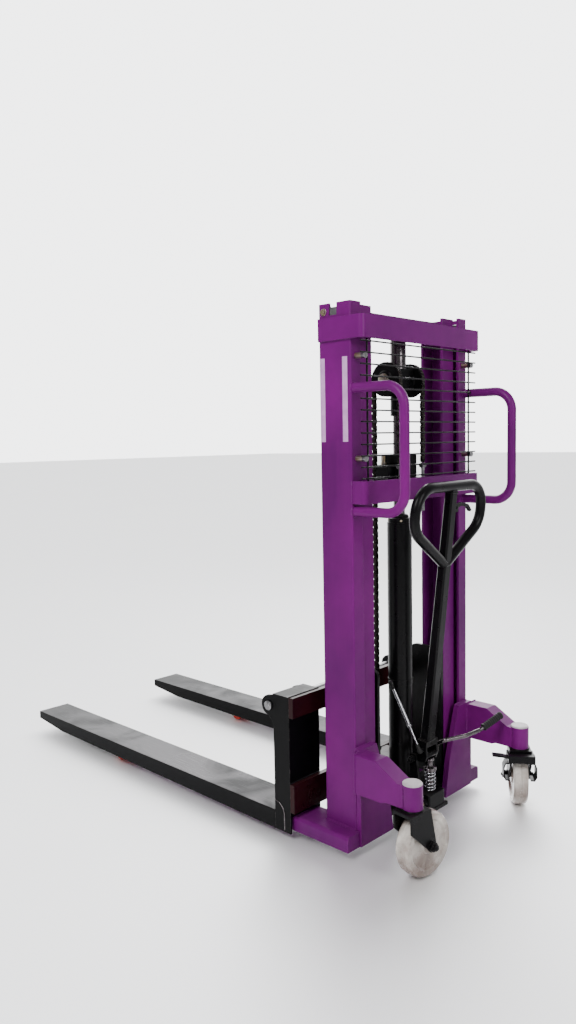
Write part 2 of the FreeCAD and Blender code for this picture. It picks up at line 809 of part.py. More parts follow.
def chain_anchors(end, sign, seat, thick):
    """The two anchor bolts of the chains' ends: an eye above a plate, a nut below it."""
    label = f"{end}_chain_anchors"
    y = f"cylinder_y {sign} chain_radius"
    eye = f"chain_{end}_low - 0.5"
    bolts = []
    for name, side in SIDES:
        x = f"{side} * pulley_x"
        shaft = place(rod("6", f"{eye} - ({seat}) + 43"), x, y, f"{seat} - 52")
        nut = place(hexagon("11", "9"), x, y, f"{seat} - 9")
        collar = place(hexagon("11", "7"), x, y, f"{seat} + {thick}")
        head = place(rod("8", "22"), f"{x} - 11", y, f"{eye} - 9", ALONG_X)
        bolts.append(joined(f"{label}_{name}", [shaft, nut, collar, head]))
    group(label, bolts)


def mast_shoe(name, side):
    """The slide shoe at the foot of the inner mast, which runs in the outer channel."""
    body = new_body(f"mast_shoe_{name}")
    half = "mast_depth / 2 - flange - 0.6"
    low = f"{side} * inner_far"
    high = f"{side} * (mast_half - web - 0.8)"
    block = [(low, f"-({half})"), (high, f"-({half})"), (high, half), (low, half)]
    pad(body, "XY", "inner_foot + 20", "90", block)
    round_edges(body, "4", lambda e: runs_along(e, 2) and near(e, 0, high))
    return place(body)


# ---------------------------------------------------------------- carriage and forks


def fork_blade(name, side):
    """A fork blade: an upturned trough whose underside rises towards the tip."""
    body = new_body(f"fork_blade_{name}")
    start = "fork_outer - fork_width" if side > 0 else "-fork_outer"
    shape = [
        ("-fork_tip", "fork_top - tip_thick"), ("-fork_tip + fork_taper", "fork_low + fork_rise"),
        ("-shank_front", "fork_low"), ("-shank_front", "fork_top"), ("-fork_tip", "fork_top"),
    ]
    pad(body, "YZ", start, "fork_width", shape)
    hollow = [
        ("-fork_tip + 3 * fork_wall", "fork_low - 5"), ("-shank_front + 5", "fork_low - 5"),
        ("-shank_front + 5", "fork_top - fork_wall"), ("-fork_tip + 3 * fork_wall", "fork_top - fork_wall"),
    ]
    cut(body, "YZ", f"{start} + fork_wall", "fork_width - 2 * fork_wall", hollow)
    round_edges(body, "3", lambda e: runs_along(e, 1) and near(e, 2, "fork_top") and e.Length > 1000)
    return place(body)


def fork_shank(name, side):
    """A fork's upright shank, boxed, with ears in front for the cross shaft."""
    body = new_body(f"fork_shank_{name}")
    low = "fork_outer - fork_width" if side > 0 else "-fork_outer"
    high = f"{low} + fork_width"
    face = [
        (low, "fork_low"), (f"{low} + fork_wall", "fork_low"), (f"{low} + fork_wall", "fork_top - fork_wall"),
        (f"{high} - fork_wall", "fork_top - fork_wall"), (f"{high} - fork_wall", "fork_low"),
        (high, "fork_low"), (high, "shank_top"), (low, "shank_top"),
    ]
    pad(body, "XZ", "-shank_front", "shank_front - shank_rear", face)
    hollow = [
        (f"{low} + shank_wall", "fork_top + shank_wall"), (f"{high} - shank_wall", "fork_top + shank_wall"),
        (f"{high} - shank_wall", "shank_top - shank_wall"), (f"{low} + shank_wall", "shank_top - shank_wall"),
    ]
    cut(body, "XZ", "-shank_front + shank_wall", "shank_front - shank_rear - 2 * shank_wall", hollow)
    for start in (low, f"{high} - shank_wall"):
        pad(body, "YZ", start, "shank_wall", circles=[("shaft_y", "shaft_z", "ear_radius")])
        web = [
            ("shaft_y", "shaft_z - ear_radius"), ("-shank_front + 3", "shaft_z - ear_radius - 30"),
            ("-shank_front + 3", "shank_top - 2"), ("shaft_y", "shaft_z + ear_radius"),
        ]
        pad(body, "YZ", start, "shank_wall", web)
    cut(body, "YZ", f"{low} - 1", "fork_width + 2", circles=[("shaft_y", "shaft_z", "shaft_radius")])
    return place(body)


def fork_shaft():
    """The round shaft in front of the carriage that both forks hang on."""
    half = "fork_outer + 7"
    edge = [("shaft_radius", f"-({half})"), ("shaft_radius", half)]
    shaft = turned("fork_shaft", [("0", f"-({half})")] + edge + [("0", half)])
    return place(shaft, "0", "shaft_y", "shaft_z", ALONG_X)


def cross_plate(name, low, high):
    """A cross plate of the carriage, across the backs of both shanks."""
    body = new_body(f"cross_plate_{name}")
    face = [("-fork_outer", low), ("fork_outer", low), ("fork_outer", high), ("-fork_outer", high)]
    pad(body, "XZ", "-shank_rear", "cross_thick", face)
    return place(body)


def lower_cross_plate():
    """The lower cross plate, with the shelf behind it that the lifting chains are bolted to."""
    body = cross_plate("lower", "lower_low", "lower_high")
    edge = "-shank_rear + cross_thick - 1"
    shape = [
        ("-90", edge), ("90", edge), ("90", "-34"), ("46", "-34"), ("46", "-43"),
        ("-46", "-43"), ("-46", "-34"), ("-90", "-34"),
    ]
    holes = [(f"{side} * pulley_x", "cylinder_y - chain_radius", "6.5") for name, side in SIDES]
    pad(body, "XY", "lower_high - 16", "14", shape, holes)
    for side in (-1, 1):
        gusset = [(edge, "lower_low + 10"), (edge, "lower_high - 15"), ("-62", "lower_high - 15")]
        pad(body, "YZ", f"{side} * 30 - 4", "8", gusset)
    return body


def carriage_plates():
    """Both cross plates of the carriage."""
    upper = cross_plate("upper", "upper_low", "shank_top")
    return group("carriage_plates", [upper, lower_cross_plate()])


def carriage_side(name, side):
    """A side plate of the carriage with its rollers' two stub axles, which reach into the inner mast."""
    body = new_body(f"carriage_side_{name}")
    start = "side_inner" if side > 0 else "-side_inner - side_thick"
    face = "-shank_rear + cross_thick"
    shape = [
        (face, "lower_low"), ("side_rear", "lower_low"), ("side_rear", "side_top"),
        ("-70", "side_top"), (face, "shank_top"),
    ]
    pad(body, "YZ", start, "side_thick", shape)
    round_edges(body, "30", lambda e: runs_along(e, 0) and near(e, 2, "side_top"))
    pins = [("0", "roller_low", "roller_pin"), ("0", "roller_high", "roller_pin")]
    reach = "side_inner + side_thick - 1" if side > 0 else "-side_inner - side_thick - 46"
    pad(body, "YZ", reach, "47", circles=pins)
    return place(body)


def carriage_roller(name, side, level):
    """A guide roller of the carriage, which runs inside the inner channel."""
    bore = "roller_pin + fit"
    wide = "roller_radius"
    wheel = turned(f"roller_{level}_{name}", [
        (bore, "0"), (f"{wide} - 2", "0"), (wide, "2"), (wide, "26"), (f"{wide} - 2", "28"), (bore, "28"),
    ])
    turn = ALONG_X if side > 0 else ALONG_X.inverted()
    return place(wheel, f"{side} * (side_inner + side_thick + 16)", "0", f"roller_{level}", turn)


# ---------------------------------------------------------------- pump, tiller and pedal


def pump_body():
    """The hand pump's black casting, with its relief valve and two ears for the tiller's pivot."""
    body = new_body("pump_body")
    base = [("-45", "78"), ("45", "78"), ("45", "150"), ("-45", "150")]
    pad(body, "XY", "base_high", "pump_top - base_high", base)
    ear = [
        ("74", "base_high"), ("112", "base_high"), ("112", "150"), ("101", "pivot_z - 10"),
        ("101", "pivot_z + 14"), ("75", "pivot_z + 14"), ("74", "pivot_z - 10"),
    ]
    for start in ("38", "-50"):
        pad(body, "YZ", start, "12", ear)
    cut(body, "XY", "base_high + 4", "pump_top", circles=[("0", "pump_y", "plunger_radius + fit")])
    cut(body, "YZ", "-60", "120", circles=[("pivot_y", "pivot_z", "pivot_radius")])
    round_edges(body, "5", lambda e: runs_along(e, 2) and near(e, 1, "150"))
    pad(body, "YZ", "44", "16", circles=[("132", "98", "12")])
    return place(body)


def pivot_bolt():
    """The bolt through the pump's ears that the tiller and the pedal turn on."""
    pin = "pivot_radius"
    bolt = turned("pivot_bolt", [
        ("0", "-70"), ("11", "-70"), ("11", "-62"), (pin, "-62"), (pin, "52"), ("11", "52"),
        ("11", "62"), ("0", "62"),
    ])
    return place(bolt, "0", "pivot_y", "pivot_z", ALONG_X)


def plunger():
    """The pump's plunger, with the cap that holds its spring and a button on top."""
    part = turned("pump_plunger", [
        ("0", "-12"), ("plunger_radius", "-12"), ("plunger_radius", "cap_low - pump_top"),
        ("22", "cap_low - pump_top"), ("22", "cap_low - pump_top + 9"),
        ("9", "cap_low - pump_top + 13"), ("9", "cap_low - pump_top + 28"),
        ("14", "plunger_top - pump_top - 8"), ("14", "plunger_top - pump_top - 2"),
        ("11", "plunger_top - pump_top"), ("0", "plunger_top - pump_top"),
    ])
    return place(part, "0", "pump_y", "pump_top")


def pump_spring():
    """The plunger's return spring, wound from round wire."""
    gap = 3.0
    wire = 3.0
    coil = 17.0
    turns = 6
    rise = number("cap_low - pump_top") - 2 * gap - wire
    helix = Part.makeHelix(rise / turns, rise, coil)
    section = Part.Wire(Part.makeCircle(wire / 2, FreeCAD.Vector(coil, 0, 0), FreeCAD.Vector(0, 1, 0)))
    spring = doc.addObject("Part::Feature", "pump_spring")
    spring.Shape = Part.Wire(helix).makePipeShell([section], True, True)
    return place(spring, "0", "pump_y", f"pump_top + {gap + wire / 2}")


def tiller_turn():
    """How far the tiller leans back from upright."""
    return FreeCAD.Rotation(FreeCAD.Vector(1, 0, 0), -number("tiller_lean"))


def on_tiller(piece):
    """Puts a piece drawn about the tiller's pivot in its place."""
    return place(piece, "0", "pivot_y", "pivot_z", tiller_turn())


def tiller_yoke():
    """The forked foot of the tiller, with the cam pin that presses the pump's plunger."""
    body = new_body("tiller_yoke")
    cheek = [
        ("-15", "-12"), ("14", "-12"), ("38", "-6"), ("42", "14"), ("36", "40"), ("36", "62"),
        ("-2", "62"), ("-2", "40"), ("-15", "14"),
    ]
    for start in ("26", "-34"):
        pad(body, "YZ", start, "8", cheek)
    bridge = [("-26", "-1"), ("26", "-1"), ("26", "36"), ("-26", "36")]
    pad(body, "XY", "42", "20", bridge)
    cut(body, "YZ", "-60", "120", circles=[("0", "0", "pivot_radius + fit")])
    lean = math.radians(number("tiller_lean"))
    back = number("pump_y - pivot_y")
    up = number("plunger_top + 11 - pivot_z")
    u = back * math.cos(lean) - up * math.sin(lean)
    v = back * math.sin(lean) + up * math.cos(lean)
    pad(body, "YZ", "-27", "54", circles=[(f"{u:.3f}", f"{v:.3f}", "9")])
    pad(body, "YZ", "33", "strut_x - 4.7 - 33", circles=[("24.3", "34", "6")])
    return on_tiller(body)


def chamfered_square(half_wide, half_deep, corner):
    """The corners of a square tube's outline about the tiller's axis, with flats at its corners."""
    wide = (half_wide, half_wide - corner)
    deep = (half_deep, half_deep - corner)
    quarter = [(wide[0], deep[1]), (wide[1], deep[0])]
    corners = quarter + [(-x, y) for x, y in reversed(quarter)]
    corners += [(-x, -y) for x, y in quarter] + [(x, -y) for x, y in reversed(quarter)]
    return [(f"{x}", f"tiller_axis + {y}") for x, y in corners]


def tiller_shaft():
    """The tapered shaft of the tiller, with the clevis and pin for the release lever."""
    body = new_body("tiller_shaft")
    lower = new_sketch(body, "XY", "62")
    outline(lower, chamfered_square(21, 18, 5))
    upper = new_sketch(body, "XY", "loop_top - 5")
    outline(upper, chamfered_square(17.5, 15, 5))
    doc.recompute()
    loft = body.newObject("PartDesign::AdditiveLoft", "tiller_shaft_loft")
    loft.Profile = lower
    loft.Sections = [upper]
    loft.Ruled = True
    lower.Visibility = False
    upper.Visibility = False
    for start in ("tiller_axis - 11", "tiller_axis + 6"):
        ear = [("-34", "838"), ("-12", "838"), ("-12", "866"), ("-34", "866")]
        pad(body, "XZ", start, "5", ear)
    pad(body, "XZ", "tiller_axis - 10", "20", circles=[("-27", "852", "3.5")])
    return on_tiller(body)


def tiller_loop(shaft):
    """The heart-shaped hand loop, cut where the shaft runs through it."""
    ring = doc.addObject("PartDesign::Body", "tiller_ring")
    corners = [
        ("0", "loop_top"), ("loop_half", "loop_top"), ("loop_half", "loop_waist"), ("6", "loop_join"),
        ("-6", "loop_join"), ("-loop_half", "loop_waist"), ("-loop_half", "loop_top"), ("0", "loop_top"),
    ]
    path = new_sketch(ring, "XZ", "-tiller_axis")
    points = [FreeCAD.Vector(number(u), number(v), 0) for u, v in corners]
    bend = number("loop_bend")
    for edge in bent_path(points[:4], bend) + bent_path(points[4:], bend):
        path.addGeometry(edge, False)
    path.addGeometry(Part.LineSegment(points[3], points[4]), False)
    doc.recompute()
    section = new_sketch(ring, "YZ")
    circle(section, "tiller_axis", "loop_top", "loop_radius")
    pipe = ring.newObject("PartDesign::AdditivePipe", "tiller_ring_pipe")
    pipe.Profile = section
    pipe.Spine = (path, [])
    pipe.Transition = 1
    path.Visibility = False
    section.Visibility = False
    on_tiller(ring)
    loop = doc.addObject("Part::Cut", "tiller_loop")
    loop.Base = ring
    loop.Tool = shaft
    return loop


def release_lever():
    """The curved finger lever under the loop's top bar that lowers the forks."""
    body = new_body("release_lever")
    arm = [
        ("-21", "846"), ("-21", "858"), ("-66", "866"), ("-104", "858"), ("-126", "837"),
        ("-119", "831"), ("-98", "848"), ("-66", "856"),
    ]
    pad(body, "XZ", "tiller_axis - 5", "10", arm)
    cut(body, "XZ", "tiller_axis - 6", "12", circles=[("-27", "852", "3.5 + fit")])
    round_edges(body, "3", lambda e: runs_along(e, 1) and e.BoundBox.Center.x < -50)
    return on_tiller(body)


def strut_turn():
    """The strut's own Z axis runs down it, from its upper eye to its lower one."""
    return FreeCAD.Rotation(FreeCAD.Vector(1, 0, 0), 180 + number("strut_angle"))


def strut_upper():
    """The strut's tube, with the eye that hangs on the cylinder's band."""
    body = new_body("strut_upper")
    pad(body, "XY", "6", "144", circles=[("0", "0", "5.5")])
    pad(body, "YZ", "-4", "8", circles=[("0", "0", "9")])
    cut(body, "XY", "20", "140", circles=[("0", "0", "4 + fit")])
    cut(body, "YZ", "-5", "10", circles=[("0", "0", "4 + fit")])
    return place(body, "strut_x", "strut_y", "strut_z", strut_turn())


def strut_lower():
    """The strut's bright rod, with the eye at the tiller's end."""
    body = new_body("strut_lower")
    pad(body, "XY", "60", "strut_length - 60", circles=[("0", "0", "4")])
    pad(body, "YZ", "-4", "8", circles=[("0", "strut_length", "8")])
    return place(body, "strut_x", "strut_y", "strut_z", strut_turn())


def foot_pedal():
    """The foot pedal's cranked rod, with the hub plate that turns on the pivot bolt."""
    corners = [
        FreeCAD.Vector(-56, 104, 262), FreeCAD.Vector(-60, 142, 284), FreeCAD.Vector(-130, 180, 290),
        FreeCAD.Vector(-185, 202, 300), FreeCAD.Vector(-262, 235, 338),
    ]
    path = Part.Wire([edge.toShape() for edge in bent_path(corners, 14)])
    heading = corners[1] - corners[0]
    section = Part.Wire(Part.makeCircle(7, corners[0], heading))
    rod_shape = path.makePipeShell([section], True, True)
    pivot = FreeCAD.Vector(-61, number("pivot_y"), number("pivot_z"))
    across = FreeCAD.Vector(1, 0, 0)
    hub = Part.makeCylinder(17, 10, pivot, across)
    hub = hub.fuse(Part.makeBox(10, 24, 30, FreeCAD.Vector(-61, pivot.y + 4, pivot.z)))
    hole = Part.makeCylinder(number("pivot_radius + fit"), 14, pivot - across * 2, across)
    lever = doc.addObject("Part::Feature", "foot_pedal")
    lever.Shape = rod_shape.fuse(hub).cut(hole).removeSplitter()
    node(place(lever), "foot_pedal")
    direction = (corners[4] - corners[3]).normalize()
    start = corners[3] + direction * 12
    length = (corners[4] - corners[3]).Length - 2
    grip = Part.makeCylinder(13, length, start, direction)
    grip = grip.cut(Part.makeCylinder(7, length - 10, start, direction))
    rubber = doc.addObject("Part::Feature", "pedal_grip")
    rubber.Shape = grip.makeFillet(4, [e for e in grip.Edges if abs(e.Length - 26 * math.pi) < 0.5])
    node(place(rubber), "pedal_grip")


# ---------------------------------------------------------------- casters


def caster_turn(name):
    """The heading that a caster's wheel trails towards."""
    return FreeCAD.Rotation(FreeCAD.Vector(0, 0, 1), number(f"{name}_heading"))


def on_caster(piece, name, side):
    """Puts a piece drawn about a caster's swivel axis in its place."""
    return place(piece, f"{side} * caster_x", "caster_y", "0", caster_turn(name))


def caster_fork(name, side):
    """A caster's fork: two cheeks under a plate, the stem that turns in the tube, and the axle bolt.

    The right one also has the brake's pivot stubs and a bent strap guard outside each cheek.
    """
    body = new_body(f"caster_fork_{name}")
    outer = "cheek_inner + cheek"
    rear = "-46" if side > 0 else "-34"
    deck = [(rear, f"-({outer})"), ("42", f"-({outer})"), ("42", outer), (rear, outer)]
    pad(body, "XY", "yoke_low", "yoke_high - yoke_low", deck)
    axle = "caster_wheel_radius"
    shape = [
        (rear, "yoke_low + 1"), ("42", "yoke_low + 1"), ("trail + 19", f"{axle} + 4"),
        ("trail + 15", f"{axle} - 11"), ("trail + 5", f"{axle} - 19"), ("trail - 6", f"{axle} - 18"),
        ("trail - 17", f"{axle} - 6"), (f"{rear} + 2", f"{axle} + 60"),
    ]
    for start in ("cheek_inner", f"-({outer})"):
        pad(body, "XZ", start, "cheek", shape)
    pad(body, "XY", "yoke_high - 1", "tube_low - yoke_high + 0.5", circles=[("0", "0", "29")])
    pad(body, "XY", "yoke_high", "tube_high - yoke_high - 4", circles=[("0", "0", "stem_radius")])
    pad(body, "XZ", f"-({outer}) - 9", f"2 * ({outer}) + 20", circles=[("trail", axle, "caster_axle_radius")])
    pad(body, "XZ", f"-({outer}) - 9", "10", circles=[("trail", axle, "15")])
    pad(body, "XZ", f"{outer} - 1", "12", circles=[("trail", axle, "15")])
    if side < 0:
        pad(body, "XZ", f"-({outer}) - 9", "10", circles=[("0", "brake_z", "5")])
        pad(body, "XZ", f"{outer} - 1", "10", circles=[("0", "brake_z", "5")])
        for away in ("", "-"):
            pad(body, "YZ", "-24", "44", [(f"{away}({y})", z) for y, z in (
                (f"{outer} - 1", "104"), ("50", "104"), ("58", "118"), ("58", "152"), ("50", "168"),
                (f"{outer} - 1", "168"), (f"{outer} - 1", "164"), ("48", "164"), ("54", "150"),
                ("54", "120"), ("48", "108"), (f"{outer} - 1", "108"))])
    return on_caster(body, name, side)


def caster_wheel(name, side):
    """A nylon caster wheel with a recessed web and a shallow groove round its tread."""
    rim = "caster_wheel_radius"
    half = "caster_wheel_width / 2"
    bore = "caster_axle_radius + fit"
    wheel = turned(f"caster_wheel_{name}", [
        (bore, f"-({half})"), ("26", f"-({half})"), ("32", f"-({half}) + 6"), ("70", f"-({half}) + 6"),
        ("76", f"-({half})"), (f"{rim} - 7", f"-({half})"), (f"{rim} - 1.5", f"-({half}) + 7"),
        (rim, "-4"), (f"{rim} - 1.5", "-2.5"), (f"{rim} - 1.5", "2.5"), (rim, "4"),
        (f"{rim} - 1.5", f"{half} - 7"), (f"{rim} - 7", half), ("76", half), ("70", f"{half} - 6"),
        ("32", f"{half} - 6"), ("26", half), (bore, half),
    ])
    heading = number(f"{name}_heading")
    spot = caster_turn(name).multVec(FreeCAD.Vector(number("trail"), 0, 0))
    turn = FreeCAD.Rotation(FreeCAD.Vector(0, 0, 1), heading).multiply(ALONG_Y)
    return place(wheel, f"{side} * caster_x + {spot.x}", f"caster_y + {spot.y}", rim, turn)


def caster_brake():
    """The right caster's foot brake: a stirrup over the wheel with a toe tab at one side."""
    body = new_body("caster_brake")
    arm = [("-66", "186"), ("-66", "204"), ("8", "204"), ("14", "195"), ("8", "186")]
    for start in ("39", "-45"):
        pad(body, "XZ", start, "6", arm)
    bar = [("-66", "184"), ("-56", "184"), ("-56", "206"), ("-66", "206")]
    pad(body, "XZ", "-45", "90", bar)
    tab = [("-66", "203"), ("-40", "203"), ("-40", "209"), ("-66", "209")]
    pad(body, "XZ", "-45", "90", tab)
    toe = [("40", "198"), ("66", "203"), ("100", "206"), ("99", "212"), ("64", "209"), ("40", "204")]
    pad(body, "YZ", "-66", "26", toe)
    cut(body, "XZ", "-60", "120", circles=[("0", "brake_z", "5 + fit")])
    return on_caster(body, "right", -1)


# ---------------------------------------------------------------- the whole machine


def build():
    """Builds every sub-part of the machine."""
    fill_sheet()
    each_side("outer_channel", outer_channel)
    each_side("base_leg", base_leg)
    each_side("outrigger", outrigger)
    each_side("grab_handle", grab_handle)
    pair("base_rear_plates", base_rear_plate)
    pair("side_pads", side_pad)
    pair("caster_caps", caster_cap)
    node(top_beam(), "top_beam")
    node(mid_bar(), "mid_bar")
    node(rod_guide(), "rod_guide")
    node(base_plate(), "base_plate")
    node(mesh_guard(), "mesh_guard")
    frame_bolts()
    load_wheels()
    load_axles()
    node(cylinder_barrel(), "cylinder_barrel")
    node(cylinder_gland(), "cylinder_gland")
    each_side("inner_channel", inner_channel)
    node(inner_top_beam(), "inner_top_beam")
    pair("mast_shoes", mast_shoe)
    node(crosshead(), "crosshead")
    group("lift_rods", [piston_rod(), lift_tube()])
    node(pulley_axle(), "pulley_axle")
    pair("pulleys", pulley)
    pair("chains_over", chain_over)
    pair("chains_front", chain_front)
    chain_anchors("rear", "+", "bar_low + 4", "anchor_plate")
    chain_anchors("front", "-", "lower_high - 16", "14")
    each_side("fork_blade", fork_blade)
    each_side("fork_shank", fork_shank)
    node(fork_shaft(), "fork_shaft")
    carriage_plates()
    each_side("carriage_side", carriage_side)
    pair("rollers_low", carriage_roller, "low")
    pair("rollers_high", carriage_roller, "high")
    node(pump_body(), "pump_body")
    node(pivot_bolt(), "pivot_bolt")
    node(plunger(), "pump_plunger")
    node(pump_spring(), "pump_spring")
    node(tiller_yoke(), "tiller_yoke")
    shaft = node(tiller_shaft(), "tiller_shaft")
    node(tiller_loop(shaft), "tiller_loop")
    node(release_lever(), "release_lever")
    node(strut_upper(), "strut_upper")
    node(strut_lower(), "strut_lower")
    foot_pedal()
    each_side("caster_fork", caster_fork)
    each_side("caster_wheel", caster_wheel)
    node(caster_brake(), "caster_brake")


def write_parts():
    """Checks every object and writes each sub-part's file."""
    doc.recompute()
    for item in doc.Objects:
        if "Invalid" in item.State or "Error" in item.State:
            raise RuntimeError(f"{item.Label} did not recompute: {item.State}")
    os.makedirs("parts", exist_ok=True)
    for piece in nodes:
        if piece.Shape.isNull() or not piece.Shape.isValid():
            raise RuntimeError(f"{piece.Label} has no valid shape")
        piece.Shape.exportStep(f"parts/{piece.Label}.step")


build()
write_parts()
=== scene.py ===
"""The walkie stacker's looks: a finish for every piece, and the fine pieces that a camera sees.

Metres, in the row frame: +X is the machine's left, -Y the way the forks point, +Z is up.
"""
import bpy
import bmesh
import json
import math
import random
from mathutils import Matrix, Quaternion, Vector


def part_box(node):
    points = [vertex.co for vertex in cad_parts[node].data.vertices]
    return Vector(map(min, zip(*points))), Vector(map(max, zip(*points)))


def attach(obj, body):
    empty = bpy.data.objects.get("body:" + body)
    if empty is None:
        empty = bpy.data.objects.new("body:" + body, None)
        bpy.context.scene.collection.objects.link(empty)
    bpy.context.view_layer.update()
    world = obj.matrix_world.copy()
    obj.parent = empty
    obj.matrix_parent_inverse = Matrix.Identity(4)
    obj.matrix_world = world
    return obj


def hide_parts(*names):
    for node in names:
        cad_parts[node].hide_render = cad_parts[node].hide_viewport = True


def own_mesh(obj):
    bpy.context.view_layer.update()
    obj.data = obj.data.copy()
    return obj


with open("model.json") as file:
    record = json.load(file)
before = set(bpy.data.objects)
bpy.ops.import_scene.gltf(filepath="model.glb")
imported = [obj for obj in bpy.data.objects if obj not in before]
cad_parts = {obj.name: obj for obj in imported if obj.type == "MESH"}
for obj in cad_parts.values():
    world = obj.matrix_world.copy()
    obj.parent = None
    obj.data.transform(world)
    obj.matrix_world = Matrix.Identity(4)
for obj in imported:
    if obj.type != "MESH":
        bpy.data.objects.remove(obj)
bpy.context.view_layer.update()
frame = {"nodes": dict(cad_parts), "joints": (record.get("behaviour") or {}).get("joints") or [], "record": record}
nodes = frame["nodes"]
joints = {joint["name"]: joint for joint in frame["joints"]}

MM = 0.001
X = Vector((1, 0, 0))
Y = Vector((0, 1, 0))
Z = Vector((0, 0, 1))
SIDES = (("left", 1), ("right", -1))

CAMERA_PLACE = (2.2712, 2.3494, 1.3089)
CAMERA_HEADING = -136.02
CAMERA_PITCH = -4.96
CAMERA_ROLL = -1.11
CAMERA_LENS = 28.8
SENSOR = 36.0

BACKDROP_SIDE = (-0.72, -0.69, 0.05)
BACKDROP_LIGHT = 4.5
ROOM_LIGHT = 0.3
FADE_START = 0.3
FADE_END = 0.72
FLOOR_REACH = 60.0


# ---------------------------------------------------------------- camera, floor and lights


def add_camera():
    """A camera behind the machine's left caster at 1.3 m, tipped a few degrees down and rolled by one."""
    heading = math.radians(CAMERA_HEADING)
    pitch = math.radians(CAMERA_PITCH)
    across = math.cos(pitch)
    aim = Vector((across * math.cos(heading), across * math.sin(heading), math.sin(pitch)))
    data = bpy.data.cameras.new("camera")
    data.lens = CAMERA_LENS
    data.sensor_width = SENSOR
    data.sensor_fit = "AUTO"
    camera = bpy.data.objects.new("camera", data)
    camera.location = CAMERA_PLACE
    camera.rotation_mode = "QUATERNION"
    roll = Quaternion((0, 0, 1), math.radians(CAMERA_ROLL))
    camera.rotation_quaternion = aim.to_track_quat("-Z", "Y") @ roll
    bpy.context.scene.collection.objects.link(camera)
    bpy.context.scene.camera = camera


def add_light(name, place, aim, size, power):
    """A large soft panel that faces a point."""
    data = bpy.data.lights.new(name, "AREA")
    data.shape = "RECTANGLE"
    data.size, data.size_y = size
    data.energy = power
    light = bpy.data.objects.new(name, data)
    light.location = place
    light.rotation_mode = "QUATERNION"
    light.rotation_quaternion = (Vector(aim) - Vector(place)).to_track_quat("-Z", "Y")
    bpy.context.scene.collection.objects.link(light)


def add_surround():
    """A bright backdrop beyond the forks that fades to a dimmer room on the operator's side."""
    world = bpy.data.worlds.new("studio")
    world.use_nodes = True
    tree = world.node_tree
    place = tree.nodes.new("ShaderNodeTexCoord")
    facing = tree.nodes.new("ShaderNodeVectorMath")
    facing.operation = "DOT_PRODUCT"
    facing.inputs[1].default_value = BACKDROP_SIDE
    tree.links.new(place.outputs["Generated"], facing.inputs[0])
    fade = tree.nodes.new("ShaderNodeMapRange")
    fade.interpolation_type = "SMOOTHSTEP"
    for index, value in enumerate((FADE_START, FADE_END, ROOM_LIGHT, BACKDROP_LIGHT), start=1):
        fade.inputs[index].default_value = value
    tree.links.new(facing.outputs["Value"], fade.inputs[0])
    background = tree.nodes["Background"]
    background.inputs["Color"].default_value = (0.97, 0.975, 0.985, 1)
    tree.links.new(fade.outputs[0], background.inputs["Strength"])
    bpy.context.scene.world = world


def add_studio():
    """A pale floor of part-metallic satin, the surround and three soft panels."""
    add_surround()
    aim = (0.0, 0.3, 0.9)
    add_light("key_panel", (3.6, 1.2, 3.8), aim, (1.8, 1.8), 190)
    add_light("back_panel", (0.6, 4.2, 2.6), aim, (1.4, 2.0), 70)
    add_light("far_panel", (-3.4, -1.8, 3.6), aim, (2.0, 2.0), 90)
    mesh = bpy.data.meshes.new("floor")
    corners = [(-FLOOR_REACH, -FLOOR_REACH, 0), (FLOOR_REACH, -FLOOR_REACH, 0),
               (FLOOR_REACH, FLOOR_REACH, 0), (-FLOOR_REACH, FLOOR_REACH, 0)]
    mesh.from_pydata(corners, [], [(0, 1, 2, 3)])
    floor = bpy.data.objects.new("floor", mesh)
    bpy.context.scene.collection.objects.link(floor)
    pale = Finish("floor_pale", roughness=0.62, metallic=0.75)
    pale.colour(pale.mix(pale.noise(0.6, 4), (0.93, 0.93, 0.94), (0.96, 0.96, 0.965)))
    mesh.materials.append(pale.material)


# ---------------------------------------------------------------- finishes


def srgb(red, green, blue):
    """A display colour, 0 to 255, as the linear values a shader takes."""
    shares = (red / 255, green / 255, blue / 255)
    return tuple(v / 12.92 if v <= 0.04045 else ((v + 0.055) / 1.055) ** 2.4 for v in shares)


